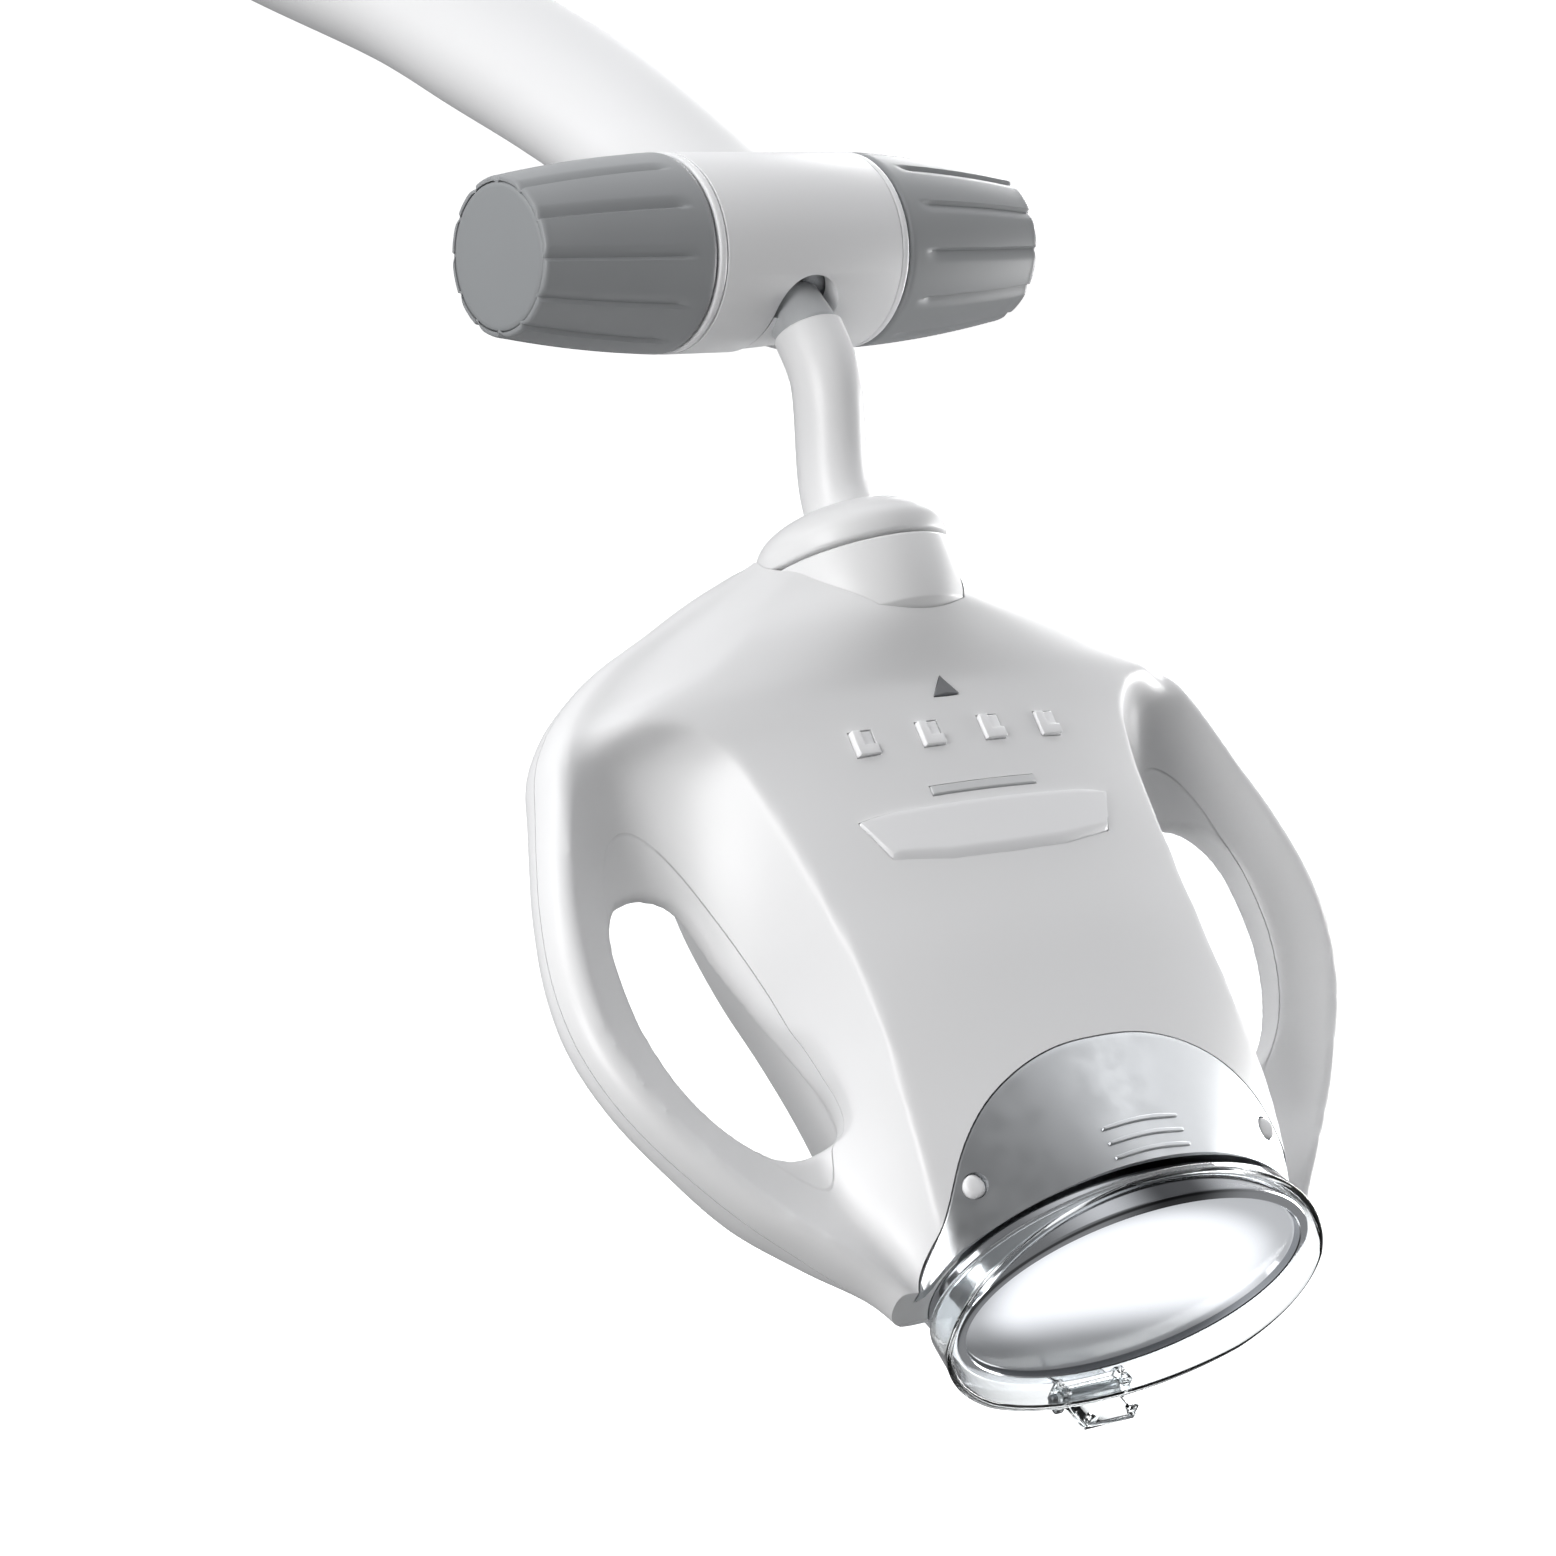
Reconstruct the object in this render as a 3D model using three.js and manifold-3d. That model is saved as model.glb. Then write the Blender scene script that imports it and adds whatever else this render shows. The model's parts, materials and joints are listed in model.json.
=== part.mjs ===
// Teeth whitening lamp: a head with two grip loops, hung from a clamped joint on an arm.
//
// Lengths are in millimetres, angles in degrees. The frame has +Z up and the front of the lamp
// facing -Y. The origin is the centre of the flat face of the arm flange, which faces +Y.
// Names that end in "share" are fractions of a named length.
import * as THREE from 'three';
import { mergeVertices } from 'three/addons/utils/BufferGeometryUtils.js';
import Module from 'manifold-3d';

const wasm = await Module();
wasm.setup();

// Driving dimensions
const KNOB_RADIUS = 27;
const KNOB_SPREAD = 172;
const HOUSING_WIDTH = 60.6;
const HEAD_HALF_WIDTH = 131.5;
const HEAD_DROP = 205.4;
const HEAD_DEPTH = 80;
const ARM_REACH = 305;
const ARM_RISE = 116;
const FIT = 0.3;
const OVERRUN = 2;
const SLIVER = 0.1;
const HEAD_TILT = 34;
const NECK_TILT = 24;
const PORT_TILT = 26;
const STEM_LEAN = 42;

// Finishes
const FINISH = {
  white: { color: 0xf1f2f3, roughness: 0.28, metalness: 0 },
  warmWhite: { color: 0xe6e7e8, roughness: 0.35, metalness: 0 },
  knobGrey: { color: 0x8b8d90, roughness: 0.55, metalness: 0 },
  capGrey: { color: 0xa9abad, roughness: 0.5, metalness: 0 },
  sleeveGrey: { color: 0x6f7275, roughness: 0.45, metalness: 0 },
  silver: { color: 0xb8babd, roughness: 0.25, metalness: 0.9 },
  castMetal: { color: 0xa3a5a8, roughness: 0.35, metalness: 0.9 },
  panelGrey: { color: 0xc4c6c9, roughness: 0.45, metalness: 0 },
  panelDark: { color: 0x404245, roughness: 0.5, metalness: 0 },
  steel: { color: 0xb9bcc0, roughness: 0.3, metalness: 1 },
  rubber: { color: 0x2b2c2e, roughness: 0.85, metalness: 0 },
  board: { color: 0x1f5a3a, roughness: 0.6, metalness: 0 },
  aluminium: { color: 0xc4c7ca, roughness: 0.35, metalness: 1 },
  black: { color: 0x1c1d1f, roughness: 0.5, metalness: 0 },
  glow: { color: 0xfbfcff, roughness: 0.15, metalness: 0 },
  clear: { color: 0xe9eef0, roughness: 0.08, metalness: 0 },
};

// Small solids

/** Turns a geometry into a solid that can be joined and cut. */
function solid(geometry) {
  const bare = geometry.clone();
  bare.deleteAttribute('normal');
  bare.deleteAttribute('uv');
  const merged = mergeVertices(bare, 1e-4);
  const vertProperties = Float32Array.from(merged.attributes.position.array);
  const triVerts = Uint32Array.from(merged.index.array);
  const mesh = new wasm.Mesh({ numProp: 3, vertProperties, triVerts });
  mesh.merge();
  return new wasm.Manifold(mesh);
}

/** The largest of the separate bodies of a solid. */
function largest(body) {
  return body.decompose().reduce((best, next) => (next.volume() > best.volume() ? next : best));
}

/** Makes the named mesh of a solid, with slivers thinner than the smallest detail taken out. */
function piece(name, body, finish) {
  const data = largest(body.simplify(SLIVER)).getMesh();
  const geometry = new THREE.BufferGeometry();
  geometry.setAttribute('position', new THREE.BufferAttribute(Float32Array.from(data.vertProperties), 3));
  geometry.setIndex(Array.from(data.triVerts));
  const flat = geometry.toNonIndexed();
  flat.computeVertexNormals();
  const mesh = new THREE.Mesh(flat, new THREE.MeshStandardMaterial({ ...finish }));
  mesh.name = name;
  return mesh;
}

/** A body turned about X; the profile holds pairs of place along X and radius. */
function turnedX(profile, segments) {
  const points = profile.map(([along, radius]) => new THREE.Vector2(radius, along));
  const geometry = new THREE.LatheGeometry(points, segments);
  geometry.rotateZ(-Math.PI / 2);
  return rightWayOut(geometry);
}

/** A body turned about Z; the profile holds pairs of place along Z and radius. */
function turnedZ(profile, segments) {
  const points = profile.map(([along, radius]) => new THREE.Vector2(radius, along));
  const geometry = new THREE.LatheGeometry(points, segments);
  geometry.rotateX(Math.PI / 2);
  return rightWayOut(geometry);
}

/** A plain rod or tube profile between two places. */
function barProfile(from, to, outer, inner = 0) {
  if (inner === 0) return [[from, 0], [from, outer], [to, outer], [to, 0]];
  return [[from, inner], [from, outer], [to, outer], [to, inner], [from, inner]];
}

/** A block given by its middle and its three sizes. */
function block(x, y, z, wide, deep, high) {
  const geometry = new THREE.BoxGeometry(wide, deep, high);
  geometry.translate(x, y, z);
  return solid(geometry);
}

/** An outline in X and Z pushed along Y from one place to another. */
function plate(outline, from, to) {
  const shape = new THREE.Shape(outline.map(([x, z]) => new THREE.Vector2(x, z)));
  const geometry = new THREE.ExtrudeGeometry(shape, { depth: to - from, bevelEnabled: false });
  geometry.rotateX(Math.PI / 2);
  geometry.translate(0, to, 0);
  return solid(geometry);
}

/** A skin through closed rings with equal counts of points, closed at both ends. */
function loft(rings) {
  const count = rings[0].length;
  const positions = rings.flat().flatMap((point) => [point.x, point.y, point.z]);
  const index = [];
  for (let row = 0; row + 1 < rings.length; row += 1) {
    for (let step = 0; step < count; step += 1) {
      const next = (step + 1) % count;
      const near = row * count;
      const far = near + count;
      index.push(near + step, near + next, far + next, near + step, far + next, far + step);
    }
  }
  const last = rings.length - 1;
  for (const row of [0, last]) {
    const flat = flattened(rings[row]);
    const turn = Math.sign(THREE.ShapeUtils.area(flat));
    for (const corners of THREE.ShapeUtils.triangulateShape(flat, [])) {
      const own = Math.sign(THREE.ShapeUtils.area(corners.map((corner) => flat[corner])));
      const inOrder = own === turn ? corners : corners.slice().reverse();
      const facing = row === 0 ? inOrder.slice().reverse() : inOrder;
      index.push(...facing.map((corner) => row * count + corner));
    }
  }
  const geometry = new THREE.BufferGeometry();
  geometry.setAttribute('position', new THREE.Float32BufferAttribute(positions, 3));
  geometry.setIndex(index);
  return rightWayOut(geometry);
}

/** The points of a flat ring, read in two directions of its own plane. */
function flattened(ring) {
  const origin = ring[0];
  const along = ring[Math.floor(ring.length / 3)].clone().sub(origin).normalize();
  const other = ring[Math.floor((ring.length * 2) / 3)].clone().sub(origin);
  const normal = along.clone().cross(other).normalize();
  const across = normal.cross(along);
  return ring.map((point) => {
    const arm = point.clone().sub(origin);
    return new THREE.Vector2(arm.dot(along), arm.dot(across));
  });
}

/** Turns all faces round when the skin faces inward. */
function rightWayOut(geometry) {
  const at = geometry.attributes.position;
  const order = geometry.index.array;
  const corner = (place) => new THREE.Vector3().fromBufferAttribute(at, order[place]);
  let volume = 0;
  for (let place = 0; place < order.length; place += 3) {
    volume += corner(place).dot(corner(place + 1).cross(corner(place + 2)));
  }
  if (volume < 0) {
    const turned = Array.from(order);
    for (let place = 0; place < turned.length; place += 3) {
      const kept = turned[place + 1];
      turned[place + 1] = turned[place + 2];
      turned[place + 2] = kept;
    }
    geometry.setIndex(turned);
  }
  return solid(geometry);
}

/** A tube along a bent path in the plane X = 0, with an oval section. */
function bentTube(path, sections, steps, segments) {
  const curve = new THREE.CatmullRomCurve3(path.map(([y, z]) => new THREE.Vector3(0, y, z)));
  const rings = [];
  for (let row = 0; row <= steps; row += 1) {
    const share = row / steps;
    const place = curve.getPoint(share);
    const along = curve.getTangent(share);
    const up = new THREE.Vector3(0, -along.z, along.y);
    const [wide, high] = sections(share);
    const ring = [];
    for (let step = 0; step < segments; step += 1) {
      const angle = (2 * Math.PI * step) / segments;
      ring.push(place.clone()
        .add(new THREE.Vector3(wide * Math.cos(angle), 0, 0))
        .addScaledVector(up, high * Math.sin(angle)));
    }
    rings.push(ring);
  }
  return loft(rings);
}

/** Turns a solid about X by an angle in degrees and then moves it. */
const placed = (body, tilt, x, y, z) => body.rotate([tilt, 0, 0]).translate([x, y, z]);

const mix = (from, to, share) => from + (to - from) * share;

// Joint: housing, rings, clamp shaft, friction discs and knobs, about the X axis
const HOUSING_HALF = HOUSING_WIDTH / 2;
const BORE_RADIUS = 20.6;
const SHAFT_RADIUS = 5;
const HUB_HALF = 14;
const DISC_THICK = 3;
const RING_THICK = 2.5;
const KNOB_END_RADIUS = 21;
const KNOB_HALF = KNOB_SPREAD / 2;
const BOSS_RADIUS = 12;
const CAP_RADIUS = 19.4;
const CAP_THICK = 1.6;
const CAP_DOME = 0.7;
const KNOB_EDGE = 2;
const SHAFT_HALF = 79;
const FLUTE_COUNT = 12;
const FLUTE_RADIUS = 3;
const FLUTE_BITE = 0.9;
const SLOT_HALF = 10.4;
const SLOT_TOP = 12;
const SLOT_END = 118;
const ROUND_STEPS = 32;
const PIN_STEPS = 24;
const SMALL_STEPS = 16;
const FLUTE_STEPS = 8;
const FLUTE_START = 8;
const HOUSING_EDGE = 1.2;
const RING_EDGE = 0.8;
const bellyPlaceShare = 0.45;
const bellyFallShare = 0.3;

function jointHousing() {
  const edge = HOUSING_EDGE;
  const shell = turnedX([
    [-HOUSING_HALF, BORE_RADIUS], [-HOUSING_HALF, KNOB_RADIUS - edge],
    [edge - HOUSING_HALF, KNOB_RADIUS], [HOUSING_HALF - edge, KNOB_RADIUS],
    [HOUSING_HALF, KNOB_RADIUS - edge], [HOUSING_HALF, BORE_RADIUS],
    [-HOUSING_HALF, BORE_RADIUS],
  ], ROUND_STEPS);
  return shell.subtract(stemSlot());
}

/** The wedge that the stem swings in, with rounded ends. */
function stemSlot() {
  const far = KNOB_RADIUS + OVERRUN;
  const rounding = THREE.MathUtils.radToDeg(SLOT_HALF / KNOB_RADIUS);
  const steps = 8;
  const outline = [[0, 0]];
  for (let step = 0; step <= steps; step += 1) {
    const angle = THREE.MathUtils.degToRad(mix(SLOT_TOP + rounding, SLOT_END - rounding, step / steps));
    outline.push([-far * Math.cos(angle), -far * Math.sin(angle)]);
  }
  const shape = new THREE.Shape(outline.map(([y, z]) => new THREE.Vector2(y, z)));
  const wedge = new THREE.ExtrudeGeometry(shape, { depth: 2 * SLOT_HALF, bevelEnabled: false });
  wedge.rotateY(Math.PI / 2);
  wedge.rotateX(Math.PI / 2);
  wedge.translate(-SLOT_HALF, 0, 0);
  let cut = solid(wedge);
  for (const angle of [SLOT_TOP + rounding, SLOT_END - rounding]) {
    const round = turnedZ(barProfile(0, far, SLOT_HALF), PIN_STEPS).rotate([90 + angle, 0, 0]);
    cut = cut.add(round);
  }
  return cut;
}

function trimRing(side) {
  const inner = HOUSING_HALF + FIT;
  const edge = RING_EDGE;
  const bore = BOSS_RADIUS + FIT;
  return turnedX([
    [side * inner, bore], [side * inner, KNOB_RADIUS - edge],
    [side * (inner + edge), KNOB_RADIUS], [side * (inner + RING_THICK - edge), KNOB_RADIUS],
    [side * (inner + RING_THICK), KNOB_RADIUS - edge], [side * (inner + RING_THICK), bore],
    [side * inner, bore],
  ], ROUND_STEPS);
}

function knob(side) {
  const start = HOUSING_HALF + 2 * FIT + RING_THICK;
  const boss = HUB_HALF + 2 * FIT + DISC_THICK;
  const belly = mix(start, KNOB_HALF, bellyPlaceShare);
  const bellyRadius = mix(KNOB_RADIUS, KNOB_END_RADIUS, bellyFallShare);
  const bore = SHAFT_RADIUS + FIT;
  const floor = KNOB_HALF - CAP_THICK - FIT;
  const body = turnedX([
    [boss, bore], [boss, BOSS_RADIUS], [start, BOSS_RADIUS], [start, KNOB_RADIUS - KNOB_EDGE],
    [start + KNOB_EDGE, KNOB_RADIUS], [belly, bellyRadius],
    [KNOB_HALF - KNOB_EDGE, KNOB_END_RADIUS], [KNOB_HALF, KNOB_END_RADIUS - KNOB_EDGE / 2],
    [KNOB_HALF, CAP_RADIUS + FIT], [floor, CAP_RADIUS + FIT], [floor, 0],
    [SHAFT_HALF + FIT, 0], [SHAFT_HALF + FIT, bore], [boss, bore],
  ], ROUND_STEPS);
  const slope = THREE.MathUtils.radToDeg(Math.atan2(KNOB_RADIUS - KNOB_END_RADIUS, KNOB_HALF - start));
  const flutes = [];
  for (let step = 0; step < FLUTE_COUNT; step += 1) {
    const groove = turnedX(barProfile(start + FLUTE_START, KNOB_HALF + OVERRUN, FLUTE_RADIUS), FLUTE_STEPS)
      .translate([-start, 0, 0]).rotate([0, slope, 0])
      .translate([start, 0, KNOB_RADIUS + FLUTE_RADIUS - FLUTE_BITE - KNOB_EDGE / 2]);
    flutes.push(groove.rotate([(360 * step) / FLUTE_COUNT, 0, 0]));
  }
  const fluted = body.subtract(wasm.Manifold.union(flutes));
  return side > 0 ? fluted : fluted.rotate([0, 0, 180]);
}

function knobCap(side) {
  const base = KNOB_HALF - CAP_THICK;
  const body = turnedX([
    [base, 0], [base, CAP_RADIUS], [KNOB_HALF, CAP_RADIUS], [KNOB_HALF + CAP_DOME, CAP_RADIUS / 2],
    [KNOB_HALF + CAP_DOME, 0],
  ], ROUND_STEPS);
  return side > 0 ? body : body.rotate([0, 0, 180]);
}

const tiltShaft = () => turnedX(barProfile(-SHAFT_HALF, SHAFT_HALF, SHAFT_RADIUS), PIN_STEPS);

function frictionDisc(side) {
  const start = HUB_HALF + FIT;
  const outer = BORE_RADIUS - 2 * FIT;
  const body = turnedX(barProfile(start, start + DISC_THICK, outer, SHAFT_RADIUS + FIT), ROUND_STEPS);
  return side > 0 ? body : body.rotate([0, 0, 180]);
}

// Arm: an oval beam from the joint housing back to the flange
const FLANGE_RADIUS = 38;
const FLANGE_THICK = 9;
const FLANGE_EDGE = 1.5;
const SCREW_RING = 32;
const SCREW_SHANK = 2.5;
const SCREW_HEAD = 4.4;
const SCREW_HEAD_DEEP = 2.6;
const SCREW_CHAMFER = 0.9;
const ARM_WIDE = 27;
const ARM_HIGH = 18;
const ARM_WIDE_END = 30;
const ARM_HIGH_END = 20;
// Bends of the arm as shares of its reach and of its rise
const armShares = [
  [0, 0.04], [0.045, 0.098], [0.151, 0.241], [0.257, 0.359], [0.37, 0.47], [0.492, 0.591],
  [0.737, 0.778], [0.88, 0.905],
];

function armBeam() {
  const end = ARM_REACH - FLANGE_THICK - FIT;
  const bends = armShares.map(([reach, rise]) => [ARM_REACH * reach, ARM_RISE * rise]);
  const path = [...bends, [end + OVERRUN, ARM_RISE]];
  const section = (share) => [mix(ARM_WIDE, ARM_WIDE_END, share), mix(ARM_HIGH, ARM_HIGH_END, share)];
  const beam = bentTube(path, section, 18, 24);
  const clearance = turnedX(barProfile(-KNOB_SPREAD, KNOB_SPREAD, KNOB_RADIUS + FIT), ROUND_STEPS);
  const beyond = block(0, end + ARM_REACH / 2, 0, ARM_REACH, ARM_REACH, ARM_REACH);
  return beam.subtract(clearance).subtract(beyond).translate([0, -ARM_REACH, -ARM_RISE]);
}

/** Calls back with the place of each flange screw. */
function eachScrew(make) {
  return [0, 1, 2, 3].map((step) => {
    const angle = THREE.MathUtils.degToRad(45 + 90 * step);
    return make(SCREW_RING * Math.cos(angle), SCREW_RING * Math.sin(angle), step);
  });
}

function armFlange() {
  const edge = FLANGE_EDGE;
  const disc = turnedZ([
    [0, 0], [0, FLANGE_RADIUS], [FLANGE_THICK - edge, FLANGE_RADIUS],
    [FLANGE_THICK, FLANGE_RADIUS - edge], [FLANGE_THICK, 0],
  ], ROUND_STEPS);
  const bores = eachScrew((x, z) => {
    const far = FLANGE_THICK + OVERRUN;
    const shank = turnedZ(barProfile(-OVERRUN, far, SCREW_SHANK + FIT), SMALL_STEPS);
    const seat = turnedZ(barProfile(FLANGE_THICK - SCREW_HEAD_DEEP, far, SCREW_HEAD + FIT), SMALL_STEPS);
    return shank.add(seat).translate([x, z, 0]);
  });
  return disc.subtract(wasm.Manifold.union(bores)).rotate([90, 0, 0]);
}

function flangeScrew(x, z) {
  const top = FLANGE_THICK;
  const seat = top - SCREW_HEAD_DEEP + FIT;
  const body = turnedZ([
    [FIT, 0], [FIT, SCREW_SHANK], [seat, SCREW_SHANK], [seat, SCREW_HEAD],
    [top - SCREW_CHAMFER, SCREW_HEAD], [top, SCREW_HEAD - SCREW_CHAMFER], [top, 0],
  ], SMALL_STEPS);
  const socket = turnedZ(barProfile(top - SCREW_HEAD_DEEP / 2, top + OVERRUN, SCREW_SHANK), 6);
  return body.subtract(socket).translate([x, z, 0]).rotate([90, 0, 0]);
}

// Stem: hub, grey sleeve, white tube and domed collar, which swing together
const HUB_RADIUS = 20.2;
const SLEEVE_RADIUS = 8.6;
const STEM_RADIUS = 9.6;
const NECK_Y = -42.5;
const NECK_Z = -81.5;
const NECK_RADIUS = 26;
const COLLAR_DOME = 15;
const COLLAR_SKIRT = 4;
const GROOVE_GAP = 0.9;
const STEM_TURN = 33;
const PIN_RADIUS = 8;
const PIN_DROP = 15;
const COLLAR_EDGE = 1;
// The bend under the sleeve as shares of the tube's radius, out and down
const bendOutShare = 0.75;
const bendDownShare = 1.25;

const lean = THREE.MathUtils.degToRad(STEM_LEAN);
const outAlong = (reach) => [-reach * Math.cos(lean), -reach * Math.sin(lean)];
const neckTilt = THREE.MathUtils.degToRad(NECK_TILT);
const neckPoint = (drop) => [NECK_Y - drop * Math.sin(neckTilt), NECK_Z - drop * Math.cos(neckTilt)];

/** Moves a body made about Z, with its top at Z = 0, to the neck axis. */
const onNeck = (body) => placed(body, -NECK_TILT, 0, NECK_Y, NECK_Z);

function stemHub() {
  const bore = SHAFT_RADIUS + FIT;
  return turnedX(barProfile(-HUB_HALF, HUB_HALF, HUB_RADIUS, bore), ROUND_STEPS);
}

/** The grey sleeve as a plain tube, grown by a margin. */
function sleeveBody(grow) {
  const path = [
    outAlong(HUB_RADIUS - SLEEVE_RADIUS / 2), outAlong(HUB_RADIUS + SLEEVE_RADIUS), outAlong(STEM_TURN + grow),
  ];
  return bentTube(path, () => [SLEEVE_RADIUS + grow, SLEEVE_RADIUS + grow], 4, PIN_STEPS);
}

function stemSleeve() {
  const hub = turnedX(barProfile(-KNOB_RADIUS, KNOB_RADIUS, HUB_RADIUS + FIT), ROUND_STEPS);
  return sleeveBody(0).subtract(hub);
}

/** The bent white tube from the sleeve to the collar, grown by a margin. */
function stemBody(grow) {
  const start = outAlong(STEM_TURN - SLEEVE_RADIUS / 4);
  const bend = [start[0] - STEM_RADIUS * bendOutShare, start[1] - STEM_RADIUS * bendDownShare];
  const path = [start, bend, neckPoint(-COLLAR_DOME - STEM_RADIUS / 2), neckPoint(grow - COLLAR_SKIRT)];
  return bentTube(path, () => [STEM_RADIUS + grow, STEM_RADIUS + grow], 12, PIN_STEPS);
}

const stemTube = () => stemBody(0).subtract(sleeveBody(FIT));

function neckCollar() {
  const profile = [
    [0, 0], [0, NECK_RADIUS - COLLAR_EDGE], [COLLAR_EDGE, NECK_RADIUS], [COLLAR_SKIRT, NECK_RADIUS],
  ];
  const steps = 6;
  for (let step = 1; step <= steps; step += 1) {
    const angle = (Math.PI / 2) * (step / steps);
    const high = mix(COLLAR_SKIRT, COLLAR_DOME, Math.sin(angle));
    profile.push([high, NECK_RADIUS * Math.cos(angle)]);
  }
  profile[profile.length - 1][1] = 0;
  const dome = turnedZ(profile, ROUND_STEPS);
  const pin = turnedZ(barProfile(-PIN_DROP, OVERRUN, PIN_RADIUS), PIN_STEPS);
  return onNeck(dome.add(pin)).subtract(stemBody(FIT));
}

// Head: built in its own frame with the drop along -Z and the front towards -Y
const HEAD_Y = -38;
const HEAD_Z = -88;
const FRONT_WALL = 4;
const NOSE_WALL = 7.6;
const REAR_WALL = 3.5;
const PARTING = -12;
const SEAM = 0.4;

// Rows of the head. The drop is a share of HEAD_DROP; the reaches are shares of HEAD_HALF_WIDTH;
// the heights are shares of HEAD_DEPTH, positive to the front.
const headRows = [
  { dropShare: -0.06, sideShare: 0.18, crestShare: 0.15, crestHighShare: -0.125, backHighShare: -0.275,
    rimShare: 0.06, rimHighShare: -0.05, frontShare: -0.04, dipShare: 0.11, dipHighShare: -0.075,
    bodyShare: 0.08, backShare: -0.325 },
  { dropShare: -0.025, sideShare: 0.32, crestShare: 0.27, crestHighShare: -0.1, backHighShare: -0.31,
    rimShare: 0.12, rimHighShare: 0.025, frontShare: 0.05, dipShare: 0.21, dipHighShare: -0.038,
    bodyShare: 0.15, backShare: -0.425 },
  { dropShare: 0.02, sideShare: 0.47, crestShare: 0.41, crestHighShare: -0.075, backHighShare: -0.32,
    rimShare: 0.21, rimHighShare: 0.1, frontShare: 0.125, dipShare: 0.33, dipHighShare: 0.012,
    bodyShare: 0.26, backShare: -0.525 },
  { dropShare: 0.068, sideShare: 0.63, crestShare: 0.57, crestHighShare: -0.062, backHighShare: -0.31,
    rimShare: 0.33, rimHighShare: 0.14, frontShare: 0.2, dipShare: 0.47, dipHighShare: 0.038,
    bodyShare: 0.35, backShare: -0.6 },
  { dropShare: 0.127, sideShare: 0.765, crestShare: 0.7, crestHighShare: -0.05, backHighShare: -0.3,
    rimShare: 0.47, rimHighShare: 0.14, frontShare: 0.235, dipShare: 0.61, dipHighShare: 0.038,
    bodyShare: 0.4, backShare: -0.65 },
  { dropShare: 0.17, sideShare: 0.83, crestShare: 0.785, crestHighShare: -0.03, backHighShare: -0.29,
    rimShare: 0.66, rimHighShare: 0.08, frontShare: 0.25, dipShare: 0.73, dipHighShare: 0.02,
    bodyShare: 0.42, backShare: -0.67 },
  { dropShare: 0.205, sideShare: 0.865, crestShare: 0.825, crestHighShare: -0.03, backHighShare: -0.28,
    rimShare: 0.58, rimHighShare: 0.12, frontShare: 0.25, dipShare: 0.71, dipHighShare: -0.04,
    bodyShare: 0.43, backShare: -0.68 },
  { dropShare: 0.245, sideShare: 0.89, crestShare: 0.85, crestHighShare: -0.035, backHighShare: -0.27,
    rimShare: 0.525, rimHighShare: 0.135, frontShare: 0.25, dipShare: 0.71, dipHighShare: -0.1,
    bodyShare: 0.435, backShare: -0.69 },
  { dropShare: 0.31, sideShare: 0.93, crestShare: 0.885, crestHighShare: -0.045, backHighShare: -0.265,
    rimShare: 0.495, rimHighShare: 0.145, frontShare: 0.253, dipShare: 0.71, dipHighShare: -0.17,
    bodyShare: 0.43, backShare: -0.69 },
  { dropShare: 0.38, sideShare: 0.968, crestShare: 0.925, crestHighShare: -0.05, backHighShare: -0.26,
    rimShare: 0.478, rimHighShare: 0.16, frontShare: 0.256, dipShare: 0.68, dipHighShare: -0.215,
    bodyShare: 0.42, backShare: -0.69 },
  { dropShare: 0.472, sideShare: 1, crestShare: 0.955, crestHighShare: -0.056, backHighShare: -0.26,
    rimShare: 0.465, rimHighShare: 0.175, frontShare: 0.262, dipShare: 0.61, dipHighShare: -0.238,
    bodyShare: 0.39, backShare: -0.68 },
  { dropShare: 0.555, sideShare: 1, crestShare: 0.955, crestHighShare: -0.062, backHighShare: -0.26,
    rimShare: 0.456, rimHighShare: 0.188, frontShare: 0.275, dipShare: 0.555, dipHighShare: -0.25,
    bodyShare: 0.35, backShare: -0.67 },
  { dropShare: 0.638, sideShare: 0.962, crestShare: 0.914, crestHighShare: -0.062, backHighShare: -0.26,
    rimShare: 0.456, rimHighShare: 0.188, frontShare: 0.281, dipShare: 0.53, dipHighShare: -0.25,
    bodyShare: 0.325, backShare: -0.66 },
  { dropShare: 0.716, sideShare: 0.893, crestShare: 0.84, crestHighShare: -0.062, backHighShare: -0.265,
    rimShare: 0.464, rimHighShare: 0.175, frontShare: 0.288, dipShare: 0.53, dipHighShare: -0.175,
    bodyShare: 0.32, backShare: -0.65 },
  { dropShare: 0.803, sideShare: 0.787, crestShare: 0.735, crestHighShare: -0.05, backHighShare: -0.28,
    rimShare: 0.471, rimHighShare: 0.15, frontShare: 0.269, dipShare: 0.565, dipHighShare: -0.075,
    bodyShare: 0.335, backShare: -0.63 },
  { dropShare: 0.876, sideShare: 0.672, crestShare: 0.626, crestHighShare: -0.025, backHighShare: -0.24,
    rimShare: 0.471, rimHighShare: 0.112, frontShare: 0.25, dipShare: 0.548, dipHighShare: 0.01,
    bodyShare: 0.36, backShare: -0.59 },
  { dropShare: 0.945, sideShare: 0.57, crestShare: 0.53, crestHighShare: -0.02, backHighShare: -0.17,
    rimShare: 0.45, rimHighShare: 0.075, frontShare: 0.225, dipShare: 0.5, dipHighShare: 0.03,
    bodyShare: 0.32, backShare: -0.47 },
  { dropShare: 1.045, sideShare: 0.48, crestShare: 0.44, crestHighShare: -0.02, backHighShare: -0.16,
    rimShare: 0.39, rimHighShare: 0.062, frontShare: 0.175, dipShare: 0.42, dipHighShare: 0.03,
    bodyShare: 0.25, backShare: -0.3 },
];

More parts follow.
